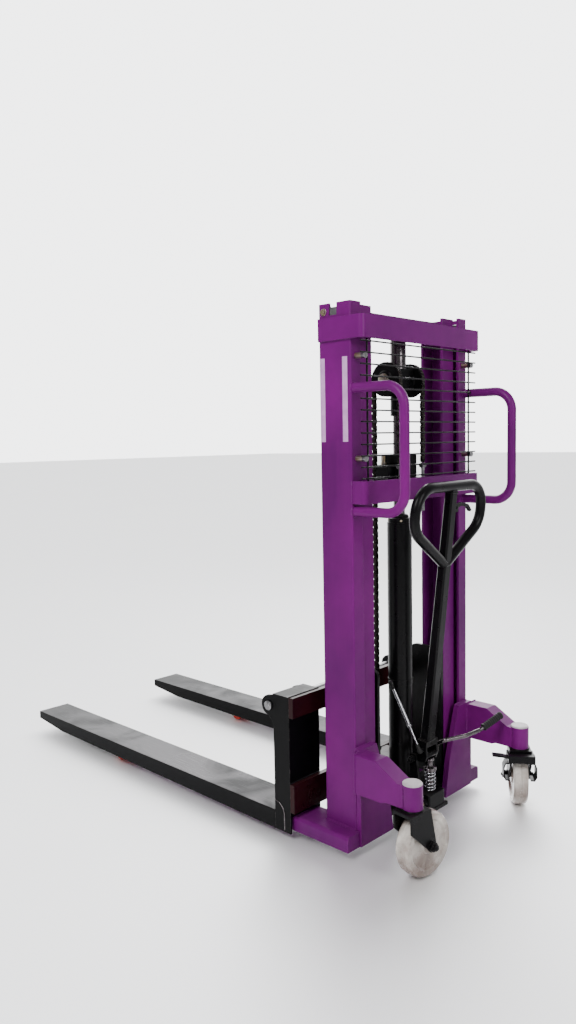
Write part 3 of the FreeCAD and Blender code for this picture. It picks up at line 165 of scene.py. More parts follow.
class Finish:
    """A material and short ways to add textures to it."""

    def __init__(self, name, roughness, metallic=0.0, coat=0.0, coat_rough=0.05, specular=0.5):
        """Sets the numbers that are the same all over the surface."""
        self.material = bpy.data.materials.new(name)
        self.material.use_nodes = True
        self.tree = self.material.node_tree
        self.shader = self.tree.nodes["Principled BSDF"]
        self.set(self.shader, "Roughness", roughness)
        self.set(self.shader, "Metallic", metallic)
        self.set(self.shader, "Coat Weight", coat)
        self.set(self.shader, "Coat Roughness", coat_rough)
        self.set(self.shader, "Specular IOR Level", specular)
        self.place = self.tree.nodes.new("ShaderNodeTexCoord").outputs["Object"]
        self.facing = self.tree.nodes.new("ShaderNodeNewGeometry").outputs["Normal"]

    def set(self, node, socket, value):
        """Gives a socket a number, a colour or another node's output."""
        target = node.inputs[socket]
        if isinstance(value, bpy.types.NodeSocket):
            self.tree.links.new(value, target)
        elif isinstance(value, tuple) and len(value) == 3 and target.type == "RGBA":
            target.default_value = (*value, 1)
        else:
            target.default_value = value

    def math(self, operation, first, second=0.0, clamp=False):
        """One arithmetic step."""
        node = self.tree.nodes.new("ShaderNodeMath")
        node.operation = operation
        node.use_clamp = clamp
        for index, value in enumerate((first, second)):
            self.set(node, index, value)
        return node.outputs[0]

    def span(self, value, low, high, start=0.0, end=1.0):
        """A value remapped from one range to another, and held inside it."""
        node = self.tree.nodes.new("ShaderNodeMapRange")
        for index, item in enumerate((value, low, high, start, end)):
            self.set(node, index, item)
        return node.outputs[0]

    def mix(self, share, first, second):
        """A blend of two colours."""
        node = self.tree.nodes.new("ShaderNodeMix")
        node.data_type = "RGBA"
        self.set(node, 0, share)
        self.set(node, 6, first)
        self.set(node, 7, second)
        return node.outputs[2]

    def stretched(self, scale):
        """The piece's own position, scaled along each axis."""
        node = self.tree.nodes.new("ShaderNodeMapping")
        self.set(node, "Vector", self.place)
        self.set(node, "Scale", scale)
        return node.outputs[0]

    def noise(self, scale, detail=3.0, stretch=None, distortion=0.0, roughness=0.5):
        """Soft random spots, scale of them in a metre."""
        node = self.tree.nodes.new("ShaderNodeTexNoise")
        self.set(node, "Vector", self.stretched(stretch) if stretch else self.place)
        self.set(node, "Scale", scale)
        self.set(node, "Detail", detail)
        self.set(node, "Distortion", distortion)
        self.set(node, "Roughness", roughness)
        return node.outputs[0]

    def cells(self, scale):
        """Distance from the nearest of many scattered points."""
        node = self.tree.nodes.new("ShaderNodeTexVoronoi")
        self.set(node, "Vector", self.place)
        self.set(node, "Scale", scale)
        return node.outputs["Distance"]

    def up(self):
        """1 on faces that look up, 0 on the rest."""
        node = self.tree.nodes.new("ShaderNodeSeparateXYZ")
        self.set(node, 0, self.facing)
        return self.span(node.outputs[2], 0.5, 0.95)

    def edges(self, radius):
        """1 along sharp edges, fading to 0 at a distance, with the rounded normal that shades them."""
        node = self.tree.nodes.new("ShaderNodeBevel")
        node.samples = 4
        self.set(node, "Radius", radius)
        dot = self.tree.nodes.new("ShaderNodeVectorMath")
        dot.operation = "DOT_PRODUCT"
        self.set(dot, 0, node.outputs[0])
        self.set(dot, 1, self.facing)
        return self.span(dot.outputs["Value"], 0.995, 0.86), node.outputs[0]

    def colour(self, value):
        """Gives the surface its colour."""
        self.set(self.shader, "Base Color", value)

    def rough(self, value):
        """Gives the surface its roughness."""
        self.set(self.shader, "Roughness", value)

    def bump(self, height, strength, distance, normal=None):
        """Relief from a height, over an earlier relief or normal if one is given."""
        node = self.tree.nodes.new("ShaderNodeBump")
        self.set(node, "Strength", strength)
        self.set(node, "Distance", distance)
        self.set(node, "Height", height)
        if normal:
            self.set(node, "Normal", normal)
        self.set(self.shader, "Normal", node.outputs[0])
        return node.outputs[0]


def enamel(name, bright, deep, worn, roughness=0.3, dust=0.04):
    """Sprayed enamel: orange peel, uneven tone, dust on top faces and chipped edges."""
    paint = Finish(name, roughness, coat=0.03, coat_rough=0.12, specular=0.13)
    edge, rounded = paint.edges(1.6 * MM)
    tone = paint.mix(paint.span(paint.noise(2.6, 4), 0.35, 0.65), deep, bright)
    mottle = paint.noise(28, 5, roughness=0.6)
    tone = paint.mix(paint.span(mottle, 0.45, 0.75, 0.0, 0.25), tone, deep)
    runs = paint.noise(7, 4, stretch=(5.0, 5.0, 0.4), roughness=0.55)
    tone = paint.mix(paint.span(runs, 0.5, 0.7, 0.0, 0.18), tone, bright)
    settled = paint.math("MULTIPLY", paint.up(), paint.span(paint.noise(13, 6), 0.35, 0.75, 0.0, dust))
    tone = paint.mix(settled, tone, srgb(150, 140, 136))
    speck = paint.span(paint.noise(210, 3), 0.5, 0.60)
    chipped = paint.math("MULTIPLY", edge, speck)
    chipped = paint.math("MULTIPLY", chipped, paint.span(paint.noise(9, 2), 0.45, 0.62, 0.05, 0.75))
    paint.colour(paint.mix(chipped, tone, worn))
    rub = paint.span(paint.noise(24, 6, roughness=0.7), 0.3, 0.75, roughness - 0.06, roughness + 0.12)
    paint.rough(paint.math("ADD", rub, paint.math("MULTIPLY", chipped, 0.3)))
    paint.bump(paint.noise(420, 2), 0.12, 0.15 * MM, rounded)
    return paint.material


def bare_metal(name, bright, dull, roughness, stretch, grain=0.12, tint=None, spots=0.2):
    """Bare or plated metal with a fine grain, dulled patches and an optional coloured film."""
    metal = Finish(name, roughness, metallic=1.0)
    edge, rounded = metal.edges(0.8 * MM)
    patch = metal.span(metal.noise(38, 5, roughness=0.65), 0.4, 0.72)
    tone = metal.mix(metal.math("MULTIPLY", patch, 0.7), bright, dull)
    if tint:
        tone = metal.mix(metal.span(metal.noise(70, 3), 0.4, 0.7, 0.1, 0.8), tone, tint)
    grime = metal.span(metal.cells(240), 0.0, 0.22, spots, 0.0)
    tone = metal.mix(grime, tone, srgb(62, 54, 48))
    metal.colour(metal.mix(metal.math("MULTIPLY", edge, 0.4), tone, srgb(236, 234, 230)))
    lines = metal.noise(90, 4, stretch=stretch, roughness=0.75)
    scuff = metal.span(lines, 0.3, 0.75, roughness - 0.05, roughness + 0.14)
    metal.rough(metal.math("ADD", scuff, metal.math("MULTIPLY", patch, 0.12), clamp=True))
    metal.bump(lines, grain, 0.12 * MM, rounded)
    return metal.material


def moulded(name, light, dark, roughness, grain=0.12, soil=0.25):
    """Moulded plastic or rubber: fine grain, and soiling in patches."""
    plastic = Finish(name, roughness, specular=0.35)
    edge, rounded = plastic.edges(1.2 * MM)
    tone = plastic.mix(plastic.span(plastic.noise(22, 4, distortion=0.6), 0.35, 0.68), light, dark)
    dirt = plastic.span(plastic.noise(90, 5, roughness=0.7), 0.5, 0.8, 0.0, soil)
    tone = plastic.mix(dirt, tone, srgb(60, 52, 48))
    plastic.colour(plastic.mix(plastic.math("MULTIPLY", edge, 0.25), tone, light))
    plastic.rough(plastic.span(plastic.noise(60, 4), 0.3, 0.7, roughness - 0.06, roughness + 0.12))
    plastic.bump(plastic.noise(520, 3), grain, 0.2 * MM, rounded)
    return plastic.material


def nylon():
    """Cast nylon of the caster wheels: milky, clouded with brown flow marks, and polished by rolling."""
    plastic = Finish("cast_nylon", 0.3, coat=0.15, coat_rough=0.15, specular=0.45)
    edge, rounded = plastic.edges(2.0 * MM)
    cloud = plastic.noise(8, 3, distortion=0.5)
    tone = plastic.mix(plastic.span(cloud, 0.38, 0.62), srgb(214, 208, 200), srgb(132, 116, 108))
    flow = plastic.noise(5, 1, stretch=(1.0, 1.0, 0.5), distortion=0.6, roughness=0.3)
    vein = plastic.math("ABSOLUTE", plastic.math("SUBTRACT", flow, 0.5))
    tone = plastic.mix(plastic.span(vein, 0.0, 0.09, 0.7, 0.0), tone, srgb(92, 74, 66))
    dirt = plastic.span(plastic.noise(60, 5, roughness=0.7), 0.52, 0.8, 0.0, 0.35)
    tone = plastic.mix(dirt, tone, srgb(92, 80, 72))
    plastic.colour(plastic.mix(plastic.math("MULTIPLY", edge, 0.3), tone, srgb(224, 218, 210)))
    plastic.rough(plastic.span(plastic.noise(40, 4), 0.3, 0.7, 0.14, 0.34))
    plastic.bump(plastic.noise(300, 3), 0.1, 0.2 * MM, rounded)
    return plastic.material


def fork_enamel():
    """Black on the forks, their tops finely scratched and clouded by a pale painted reflection that grows towards
    the heels.
    """
    paint = Finish("fork_black", 0.2, coat=0.03, coat_rough=0.08, specular=0.1)
    edge, rounded = paint.edges(1.8 * MM)
    rub = paint.noise(14, 6, stretch=(18.0, 0.6, 4.0), roughness=0.72)
    scored = paint.math("MULTIPLY", paint.up(), paint.span(rub, 0.55, 0.72))
    # Painted reflection: pale cloudy patches on the up faces, stronger towards the heels, mixed into the black to
    # stand in for the surroundings seen in the gloss.
    cloud = paint.span(paint.noise(4.2, 5, distortion=0.6), 0.4, 0.6)
    split = paint.tree.nodes.new("ShaderNodeSeparateXYZ")
    paint.set(split, 0, paint.place)
    heel = paint.span(split.outputs[1], -0.9, 0.1, 0.3, 1.0)
    painted_reflection = paint.math("MULTIPLY", paint.math("MULTIPLY", paint.up(), cloud), heel)
    tone = paint.mix(paint.span(paint.noise(4, 3), 0.35, 0.65), srgb(3, 3, 4), srgb(6, 6, 8))
    tone = paint.mix(paint.math("MULTIPLY", painted_reflection, 0.2), tone, srgb(190, 185, 190))
    tone = paint.mix(paint.math("MULTIPLY", scored, 0.25), tone, srgb(170, 168, 170))
    chips = paint.math("MULTIPLY", edge, paint.span(paint.noise(120, 3), 0.48, 0.6))
    paint.colour(paint.mix(paint.math("MULTIPLY", chips, 0.6), tone, srgb(110, 106, 104)))
    # Roughness rises with the scratches and falls where the reflection is painted.
    worn = paint.math("ADD", paint.math("MULTIPLY", scored, 0.16), paint.math("MULTIPLY", painted_reflection, -0.2))
    paint.rough(paint.math("ADD", worn, 0.44, clamp=True))
    relief = paint.bump(paint.noise(260, 2), 0.16, 0.3 * MM, rounded)
    paint.bump(scored, 0.1, 0.12 * MM, relief)
    return paint.material


def rolled_steel():
    """Oiled steel of the lift chains: dark, with rubbed edges."""
    steel = Finish("chain_steel", 0.4, metallic=0.85)
    edge, rounded = steel.edges(0.5 * MM)
    oil = steel.span(steel.noise(55, 5), 0.38, 0.66)
    tone = steel.mix(oil, srgb(20, 18, 18), srgb(52, 46, 42))
    steel.colour(steel.mix(steel.math("MULTIPLY", edge, 0.5), tone, srgb(112, 104, 96)))
    steel.rough(steel.span(oil, 0.0, 1.0, 0.22, 0.5))
    steel.bump(steel.noise(600, 3), 0.2, 0.1 * MM, rounded)
    return steel.material


def decal_film():
    """Pale printed film on the upright, slightly yellowed and scuffed."""
    film = Finish("decal_film", 0.34, coat=0.2, coat_rough=0.1)
    tone = film.mix(film.span(film.noise(26, 4), 0.35, 0.7), srgb(198, 152, 200), srgb(178, 130, 182))
    rubbed = film.span(film.noise(190, 5, roughness=0.75), 0.62, 0.72, 0.0, 0.5)
    film.colour(film.mix(rubbed, tone, srgb(150, 92, 156)))
    film.rough(film.span(film.noise(80, 4), 0.3, 0.7, 0.26, 0.46))
    film.bump(film.noise(420, 2), 0.15, 0.1 * MM)
    return film.material


PURPLE = (srgb(106, 8, 104), srgb(82, 5, 84), srgb(150, 110, 152))
BLACK = (srgb(10, 9, 11), srgb(5, 5, 6), srgb(84, 80, 78))

finishes = {
    "purple_paint": enamel("purple_enamel", *PURPLE, roughness=0.4),
    "black_paint": enamel("black_enamel", *BLACK, roughness=0.3, dust=0.05),
    "carriage_paint": enamel("maroon_black_enamel", srgb(44, 10, 15), srgb(24, 6, 9), srgb(96, 72, 70)),
    "fork_black": fork_enamel(),
    "zinc": bare_metal("zinc_plate", srgb(176, 172, 162), srgb(112, 106, 96), 0.3, (1, 1, 1),
                       tint=srgb(170, 148, 104)),
    "chrome": bare_metal("hard_chrome", srgb(186, 186, 190), srgb(120, 120, 126), 0.14, (1, 1, 14),
                         grain=0.05, spots=0.08),
    # Chrome painted darker than the chrome above: painted shade, standing in for dark surroundings reflected in
    # the polished parts.
    "dark_chrome": bare_metal("chrome_with_painted_dark_reflection", srgb(104, 98, 100), srgb(54, 50, 54), 0.16, (1, 1, 14),
                              grain=0.05, spots=0.1),
    "chain_steel": rolled_steel(),
    "roller_steel": bare_metal("ground_steel", srgb(150, 150, 152), srgb(96, 94, 92), 0.28, (14, 1, 1)),
    "bronze": bare_metal("cast_bronze", srgb(150, 130, 104), srgb(98, 78, 56), 0.34, (3, 3, 1)),
    "nylon": nylon(),
    "slide_plastic": moulded("slide_plastic", srgb(196, 194, 186), srgb(170, 166, 156), 0.4),
    "cap_plastic": moulded("cap_plastic", srgb(196, 190, 192), srgb(172, 164, 168), 0.38, soil=0.15),
    "red_roller": moulded("red_urethane", srgb(206, 62, 44), srgb(176, 42, 32), 0.36, soil=0.3),
    "grip_rubber": moulded("grip_rubber", srgb(17, 16, 17), srgb(9, 9, 9), 0.6, grain=0.3, soil=0.2),
    "decal": decal_film(),
}

OTHER_FINISHES = {
    "carriage_plates": "carriage_paint",
    # The rods, pedal, plunger and front anchors take the chrome painted dark, a painted dark reflection.
    "lift_rods": "dark_chrome",
    "foot_pedal": "dark_chrome",
    "pump_plunger": "dark_chrome",
    "pivot_bolt": "black_paint",
    "cylinder_gland": "black_paint",
    "fork_shaft": "roller_steel",
    "side_pads": "roller_steel",
    "rear_chain_anchors": "roller_steel",
    "front_chain_anchors": "dark_chrome",
}


def finish_nodes():
    """Gives every CAD sub-part the finish of its slot in the record, or another from OTHER_FINISHES."""
    for row in frame["record"]["subparts"]:
        name = row["node"]
        finish = finishes[OTHER_FINISHES.get(name, row["material_slot"])]
        mesh = nodes[name].data
        mesh.materials.clear()
        mesh.materials.append(finish)


# ---------------------------------------------------------------- shapes


class Shape:
    """Points and faces of a piece, gathered from turned, swept and plate forms."""

    def __init__(self):
        """Starts empty."""
        self.points = []
        self.faces = []

    def add(self, points, faces):
        """Adds points, and faces that count from the first of them."""
        start = len(self.points)
        self.points += [tuple(point) for point in points]
        self.faces += [[start + index for index in face] for face in faces]

    def rings(self, rings, closed=False):
        """Skins a run of equal rings, with flat ends unless it closes on itself."""
        sides = len(rings[0])
        count = len(rings)
        faces = []
        for ring in range(count if closed else count - 1):
            after = (ring + 1) % count
            for side in range(sides):
                beyond = (side + 1) % sides
                near, far = ring * sides, after * sides
                faces.append([near + side, near + beyond, far + beyond, far + side])
        if not closed:
            faces.append(list(range(sides))[::-1])
            faces.append([(count - 1) * sides + side for side in range(sides)])
        self.add([point for ring in rings for point in ring], faces)

    def turned(self, base, axis, outline, sides=32, spin=0.0):
        """Turned about an axis from pairs of distance along it and radius."""
        base = Vector(base)
        axis = Vector(axis).normalized()
        side = axis.orthogonal().normalized()
        other = axis.cross(side)
        rings = []
        for along, radius in outline:
            ring = []
            for step in range(sides):
                angle = spin + math.tau * step / sides
                reach = side * math.cos(angle) + other * math.sin(angle)
                ring.append(base + axis * along + reach * max(radius, 1e-5))
            rings.append(ring)
        self.rings(rings)

    def swept(self, path, radius, sides=10, closed=False):
        """A round tube along a path; the radius is a number or a function of the step."""
        path = [Vector(point) for point in path]
        count = len(path)
        rings = []
        side = None
        for step, point in enumerate(path):
            before = path[step - 1] if step or closed else point
            after = path[(step + 1) % count] if step < count - 1 or closed else point
            heading = (after - before).normalized()
            if side is None:
                side = heading.orthogonal().normalized()
            side = (side - heading * side.dot(heading)).normalized()
            other = heading.cross(side)
            wide = radius(step) if callable(radius) else radius
            angles = [math.tau * index / sides for index in range(sides)]
            rings.append([point + (side * math.cos(a) + other * math.sin(a)) * wide for a in angles])
        self.rings(rings, closed)

    def plate(self, outline, along):
        """A flat outline made thick along a vector."""
        along = Vector(along)
        count = len(outline)
        faces = [list(range(count))[::-1], [count + index for index in range(count)]]
        for index in range(count):
            after = (index + 1) % count
            faces.append([index, after, count + after, count + index])
        near = [Vector(point) for point in outline]
        self.add(near + [point + along for point in near], faces)


def piece(name, shape, body, slot, finish=None, crease=38.0):
    """Makes an object from a shape, gives it a finish, and lets it ride on a body."""
    mesh = bpy.data.meshes.new(name)
    mesh.from_pydata(shape.points, [], shape.faces)
    work = bmesh.new()
    work.from_mesh(mesh)
    bmesh.ops.recalc_face_normals(work, faces=work.faces)
    work.to_mesh(mesh)
    work.free()
    for face in mesh.polygons:
        face.use_smooth = True
    mesh.set_sharp_from_angle(angle=math.radians(crease))
    mesh.materials.append(finishes[finish or slot])
    item = bpy.data.objects.new(name, mesh)
    bpy.context.scene.collection.objects.link(item)
    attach(item, body)
    return item


def middle(node):
    """The middle of a CAD node's box."""
    low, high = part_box(node)
    return (low + high) / 2


def line(start, end, spacing):
    """Evenly spaced points from start to end."""
    start, end = Vector(start), Vector(end)
    steps = max(2, round((end - start).length / spacing))
    return [start.lerp(end, step / steps) for step in range(steps + 1)]


def in_mm(outline):
    """Pairs of distance and radius, from millimetres to metres."""
    return [(along * MM, radius * MM) for along, radius in outline]


def ring_path(centre, axis, radius):
    """Points round a circle."""
    steps = 40
    axis = Vector(axis).normalized()
    side = axis.orthogonal().normalized()
    other = axis.cross(side)
    turns = [math.tau * step / steps for step in range(steps)]
    return [Vector(centre) + (side * math.cos(a) + other * math.sin(a)) * radius for a in turns]


# ---------------------------------------------------------------- welds


weld_chance = random.Random(11)
RIPPLE = 0.16
UNEVEN = 0.08
ARM_HALF_WIDTH = 30 * MM
REAR_PLATE_REACH = 80 * MM
HEEL_RISE = 36 * MM
LOWER_PLATE_HEIGHT = 96 * MM


def bead(shape, path, size, closed=False):
    """A weld bead: a rope of overlapping ripples, a little uneven in width."""
    widths = [
        size * (1.0 + RIPPLE * (step % 2) + weld_chance.uniform(-UNEVEN, UNEVEN))
        for step in range(len(path))
    ]
    if not closed:
        widths[0] *= 0.55
        widths[-1] *= 0.55
    shape.swept(path, lambda step: widths[step], sides=8, closed=closed)


def seam(shape, start, end, spacing, size):
    """A straight bead; spacing and size are in millimetres."""
    bead(shape, line(start, end, spacing * MM), size * MM)


def frame_welds():
    """Beads where the frame's tubes and plates meet the uprights and the base."""
    shape = Shape()
    for name, side in SIDES:
        low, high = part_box(f"outer_channel_{name}")
        outer = high.x if side > 0 else low.x
        inner = low.x if side > 0 else high.x
        rear = high.y
        tube_low, tube_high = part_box(f"grab_handle_{name}")
        handle_radius = (tube_high.x - tube_low.x) / 2
        handle_x = middle(f"grab_handle_{name}").x
        for z in (tube_low.z + handle_radius, tube_high.z - handle_radius):
            bead(shape, ring_path((handle_x, rear, z), Y, handle_radius + 1 * MM), 2.6 * MM, closed=True)
        beam_low, beam_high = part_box("top_beam")
        edge_y = beam_low.y
        inset = 3 * MM
        seam(shape, (outer, edge_y, beam_low.z + inset), (outer, edge_y, beam_high.z - inset), 3, 3)
        seam(shape, (outer, edge_y, beam_low.z), (outer, rear, beam_low.z), 3, 2.6)
        bar_low, bar_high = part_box("mid_bar")
        seam(shape, (outer, rear, bar_low.z), (outer, rear, bar_high.z), 3, 2.4)
        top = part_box(f"base_leg_{name}")[1].z
        seam(shape, (outer, low.y, top), (outer, rear, top), 3.4, 3.4)
        seam(shape, (inner, low.y, top), (outer, low.y, top), 3.4, 3.4)
        arm_low, arm_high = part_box(f"outrigger_{name}")
        hub_x = middle(f"outrigger_{name}").x
        arm_left, arm_right = hub_x - ARM_HALF_WIDTH, hub_x + ARM_HALF_WIDTH
        corners = [
            (arm_left, arm_low.y, arm_low.z), (arm_right, arm_low.y, arm_low.z),
            (arm_right, arm_low.y, arm_high.z), (arm_left, arm_low.y, arm_high.z),
        ]
        for first, second in zip(corners, corners[1:] + corners[:1]):
            seam(shape, first, second, 3.2, 3)
        plate_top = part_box("base_rear_plates")[1].z
        seam(shape, (outer, rear, top), (outer, rear, plate_top), 3.2, 2.6)
        plate_inner = hub_x - REAR_PLATE_REACH * side
        seam(shape, (plate_inner, rear, plate_top), (outer, rear, plate_top), 3.2, 2.6)
    barrel_low, barrel_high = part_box("cylinder_barrel")
    foot = (middle("cylinder_gland").x, middle("cylinder_barrel").y, barrel_low.z)
    foot_radius = (barrel_high.y - barrel_low.y) / 2 - 1 * MM
    bead(shape, ring_path(foot, Z, foot_radius), 3 * MM, closed=True)
    piece("frame_welds", shape, "frame", "purple_paint")


def heel_path(x, front, bend, crown, foot):
    """A fork's side seam: a quarter bend from the shank's front face, then straight down."""
    steps = 16
    path = []
    for step in range(steps + 1):
        angle = math.pi / 2 * step / steps
        path.append((x, front + bend * math.sin(angle), crown - bend * (1 - math.cos(angle))))
    spacing = 3.4 * MM
    return path + line((x, front + bend, crown - bend - spacing), (x, front + bend, foot), spacing)


def carriage_welds():
    """Beads at the heels of the forks, and where the cross plates meet the shanks."""
    shape = Shape()
    heels = Shape()
    for name, _ in SIDES:
        low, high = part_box(f"fork_shank_{name}")
        blade_low, blade_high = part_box(f"fork_blade_{name}")
        heel_y = blade_high.y
        seam(shape, (low.x, heel_y, blade_high.z), (high.x, heel_y, blade_high.z), 3.6, 3.6)
        bend = (high.y - heel_y) * 0.6
        for x in (low.x, high.x):
            path = heel_path(x, heel_y, bend, blade_high.z + HEEL_RISE, blade_low.z + 6 * MM)
            bead(heels, path, 1.8 * MM)
    # The heel beads take the chrome painted dark, paler than the forks' black: worn bare weld, and a painted
    # highlight along each heel's bend.
    piece("fork_heel_welds", heels, "carriage", "fork_black", finish="dark_chrome")
    plate_low, plate_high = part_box("carriage_plates")
    for name, _ in SIDES:
        low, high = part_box(f"fork_shank_{name}")
        for z in (plate_high.z, plate_low.z + LOWER_PLATE_HEIGHT):
            seam(shape, (low.x, high.y, z), (high.x, high.y, z), 3.4, 3)
    piece("carriage_welds", shape, "carriage", "fork_black")


# ---------------------------------------------------------------- lift chains


LINK_PITCH = 12.7 * MM
PLATE_THICK = 2.3 * MM
CHAIN_WIDTH = 16 * MM
PLATE_GAP = 0.3 * MM
WAIST = 0.95
ODD_LEAVES = (-2.5, -0.5, 1.5)
EVEN_LEAVES = (-1.5, 0.5, 2.5)


def link_plate(shape, first, second, x, radius):
    """One leaf of a chain: two round ends and a narrower waist."""
    along = (second - first).normalized()
    across = X.cross(along)
    outline = []
    steps = 6
    for centre, sign in ((second, 1), (first, -1)):
        for step in range(steps + 1):
            angle = math.pi * (step / steps - 0.5)
            reach = along * math.cos(angle) + across * math.sin(angle)
            outline.append(centre + reach * radius * sign)
        outline.append((first + second) / 2 + across * radius * WAIST * sign)
    start = Vector((x - PLATE_THICK / 2, 0, 0))
    shape.plate([point + start for point in outline], X * PLATE_THICK)


def leaf_chain(shape, pins, x, radius):
    """Leaves and pins of a chain whose pins sit at the given points of its plane."""
    gap = CHAIN_WIDTH / 6
    for index, (first, second) in enumerate(zip(pins, pins[1:])):
        for offset in ODD_LEAVES if index % 2 else EVEN_LEAVES:
            link_plate(shape, first, second, x + offset * gap, radius)
    proud = 0.6 * MM
    end = CHAIN_WIDTH + 2 * proud
    head = 0.5 * MM
    outline = [(0, 1.6 * MM), (head, 2.5 * MM), (end - head, 2.5 * MM), (end, 1.6 * MM)]
    for pin in pins:
        shape.turned(pin + X * (x - CHAIN_WIDTH / 2 - proud), X, outline, sides=10)


def over_run_pins(pulley, bottom, bend, first):
    """Pins of the run that rises behind the pulley and goes over it."""
    rise = pulley.z - bottom
    pins = []
    for step in range(int((rise + math.pi * bend) / LINK_PITCH) + 1):
        travelled = step * LINK_PITCH + first
        if travelled <= rise:
            pins.append(Vector((0, pulley.y + bend, bottom + travelled)))
            continue
        angle = (travelled - rise) / bend
        pins.append(Vector((0, pulley.y + bend * math.cos(angle), pulley.z + bend * math.sin(angle))))
    return pins


def lift_chains():
    """Both chains, each in a run that goes over its pulley and a run that lifts the carriage."""
    over_low, over_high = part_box("chains_over")
    front_low, front_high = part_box("chains_front")
    pulley = middle("pulley_axle")
    half_thick = (front_high.y - front_low.y) / 2
    bend = over_high.y - pulley.y - half_thick
    over_pins = over_run_pins(pulley, over_low.z, bend, half_thick)
    front_length = pulley.z - front_low.z
    front_pins = [
        Vector((0, pulley.y - bend, front_low.z + half_thick + step * LINK_PITCH))
        for step in range(int((front_length - half_thick) / LINK_PITCH) + 1)
    ]
    over = Shape()
    front = Shape()
    for _, side in SIDES:
        x = pulley.x + side * (over_high.x - over_low.x - CHAIN_WIDTH) / 2
        leaf_chain(over, over_pins, x, half_thick - PLATE_GAP)
        leaf_chain(front, front_pins, x, half_thick - PLATE_GAP)
    over_piece = piece("chain_over_links", over, "inner_mast", "chain_steel")
    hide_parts("chains_over")
    front_piece = piece("chain_front_links", front, "inner_mast", "chain_steel")
    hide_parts("chains_front")
    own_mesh(front_piece)


# ---------------------------------------------------------------- pump, pedal and tiller


END_CLOSING = 0.22


def spring():
    """The plunger's return spring, closer-wound at its ends."""
    low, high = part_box("pump_spring")
    centre = (low + high) / 2
    wire = 2.3 * MM
    coil = (high.x - low.x) / 2 - wire
    height = high.z - low.z - 2 * wire
    turns = 5.5
    steps = 220
    path = []
    for step in range(steps + 1):
        share = step / steps
        rise = share - END_CLOSING * math.sin(math.tau * share) / math.tau
        angle = math.tau * turns * share
        path.append((
            centre.x + coil * math.cos(angle), centre.y + coil * math.sin(angle),
            low.z + wire + height * rise,
        ))
    shape = Shape()
    shape.swept(path, wire, sides=12)
    item = piece("pump_spring_coil", shape, "frame", "chrome")
    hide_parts("pump_spring")
    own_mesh(item)


PEDAL_AIM = Vector((-77, 33, 38)).normalized()
GRIP_RADIUS = 13 * MM
RIB_DEPTH = 2 * MM


def pedal_grip():
    """The ribbed rubber sleeve on the end of the foot pedal."""
    centre = middle("pedal_grip")
    low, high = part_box("pedal_grip")
    width = (high.x - low.x) - 2 * GRIP_RADIUS * math.sqrt(1 - PEDAL_AIM.x ** 2)
    length = width / abs(PEDAL_AIM.x)
    base = centre - PEDAL_AIM * length / 2
    hollow = GRIP_RADIUS - RIB_DEPTH
    outline = [(0, 8 * MM), (0.5 * MM, hollow), (2 * MM, GRIP_RADIUS)]
    ribs = 9
    pitch = (length - 16 * MM) / ribs
    for rib in range(ribs):
        start = 6 * MM + rib * pitch
        outline += [
            (start, GRIP_RADIUS), (start + 0.25 * pitch, hollow),
            (start + 0.6 * pitch, hollow), (start + 0.85 * pitch, GRIP_RADIUS),
        ]
    outline += [
        (length - 5 * MM, GRIP_RADIUS), (length - 2 * MM, GRIP_RADIUS - 1.5 * MM),
        (length, GRIP_RADIUS - 5 * MM),
    ]
    shape = Shape()
    shape.turned(base, PEDAL_AIM, outline, sides=36)
    item = piece("pedal_grip_ribbed", shape, "pedal", "grip_rubber", crease=50)
    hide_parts("pedal_grip")


TILLER_RINGS = ((21, 18, 63), (17.6, 15.1, 903))
SHAFT_OFFSET = 17.5 * MM


def tiller_details():
    """Weld rings round the tiller's shaft, and the release lever's pin.

    Each ring is half its width, half its depth and its distance along the tiller.
    """
    pivot = Vector(joints["tiller_swing"]["pos_m"])
    out = Vector(joints["lowering_lever_squeeze"]["axis"]).normalized()
    along = out.cross(X).normalized()
    if along.z < 0:
        along = -along
    shape = Shape()
    for half_wide, half_deep, height in TILLER_RINGS:
        base = pivot + along * height * MM + out * SHAFT_OFFSET
        corners = [
            base + X * sx * half_wide * MM + out * sy * half_deep * MM
            for sx, sy in ((-1, -1), (1, -1), (1, 1), (-1, 1))
        ]
        for first, second in zip(corners, corners[1:] + corners[:1]):
            seam(shape, first, second, 2.6, 2.2)
    piece("tiller_welds", shape, "tiller", "black_paint")
    lever = Vector(joints["lowering_lever_squeeze"]["pos_m"])
    pin = Shape()
    outline = [(-13.5, 2.5), (-13, 5.5), (-11.2, 6), (-11, 3), (11, 3), (11.2, 5.4), (13, 5), (13.5, 2)]
    pin.turned(lever, out, in_mm(outline), sides=20)
    piece("lever_pin", pin, "tiller", "zinc", finish="black_paint")


# ---------------------------------------------------------------- fasteners and small parts


NUT_TURN = 0.2
THREAD_PITCH = 1.5 * MM
AXLE_REACH = 45.5 * MM
RACE_HEIGHT = 216.6 * MM
UPRIGHT_BOLT_SET = 42 * MM
UPRIGHT_BOLT_HEIGHT = 1700 * MM
STUD_REACH = 298 * MM
STUD_HEIGHTS = (1251 * MM, 1561.5 * MM)
WIRES = 13
WIRE_PITCH = 34.5 * MM
WIRE_START = 1190 * MM
POST_REACH = 285 * MM
WIRE_DEPTH = 5.2 * MM
STRUT_LENGTH = 240.3 * MM
STRUT_COLLAR = 148 * MM
BAR_BOTTOM = 1303 * MM
BAR_TOP = 1560 * MM
BAR_EDGES = ((-59 * MM, -40 * MM), (30 * MM, 50 * MM))
BAR_THICK = 0.25 * MM


def x_ends(node):
    """The points in the middle of a sub-part's two X faces, each with the way it looks out."""
    low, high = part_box(node)
    centre = (low + high) / 2
    return [(Vector((low.x, centre.y, centre.z)), -X), (Vector((high.x, centre.y, centre.z)), X)]


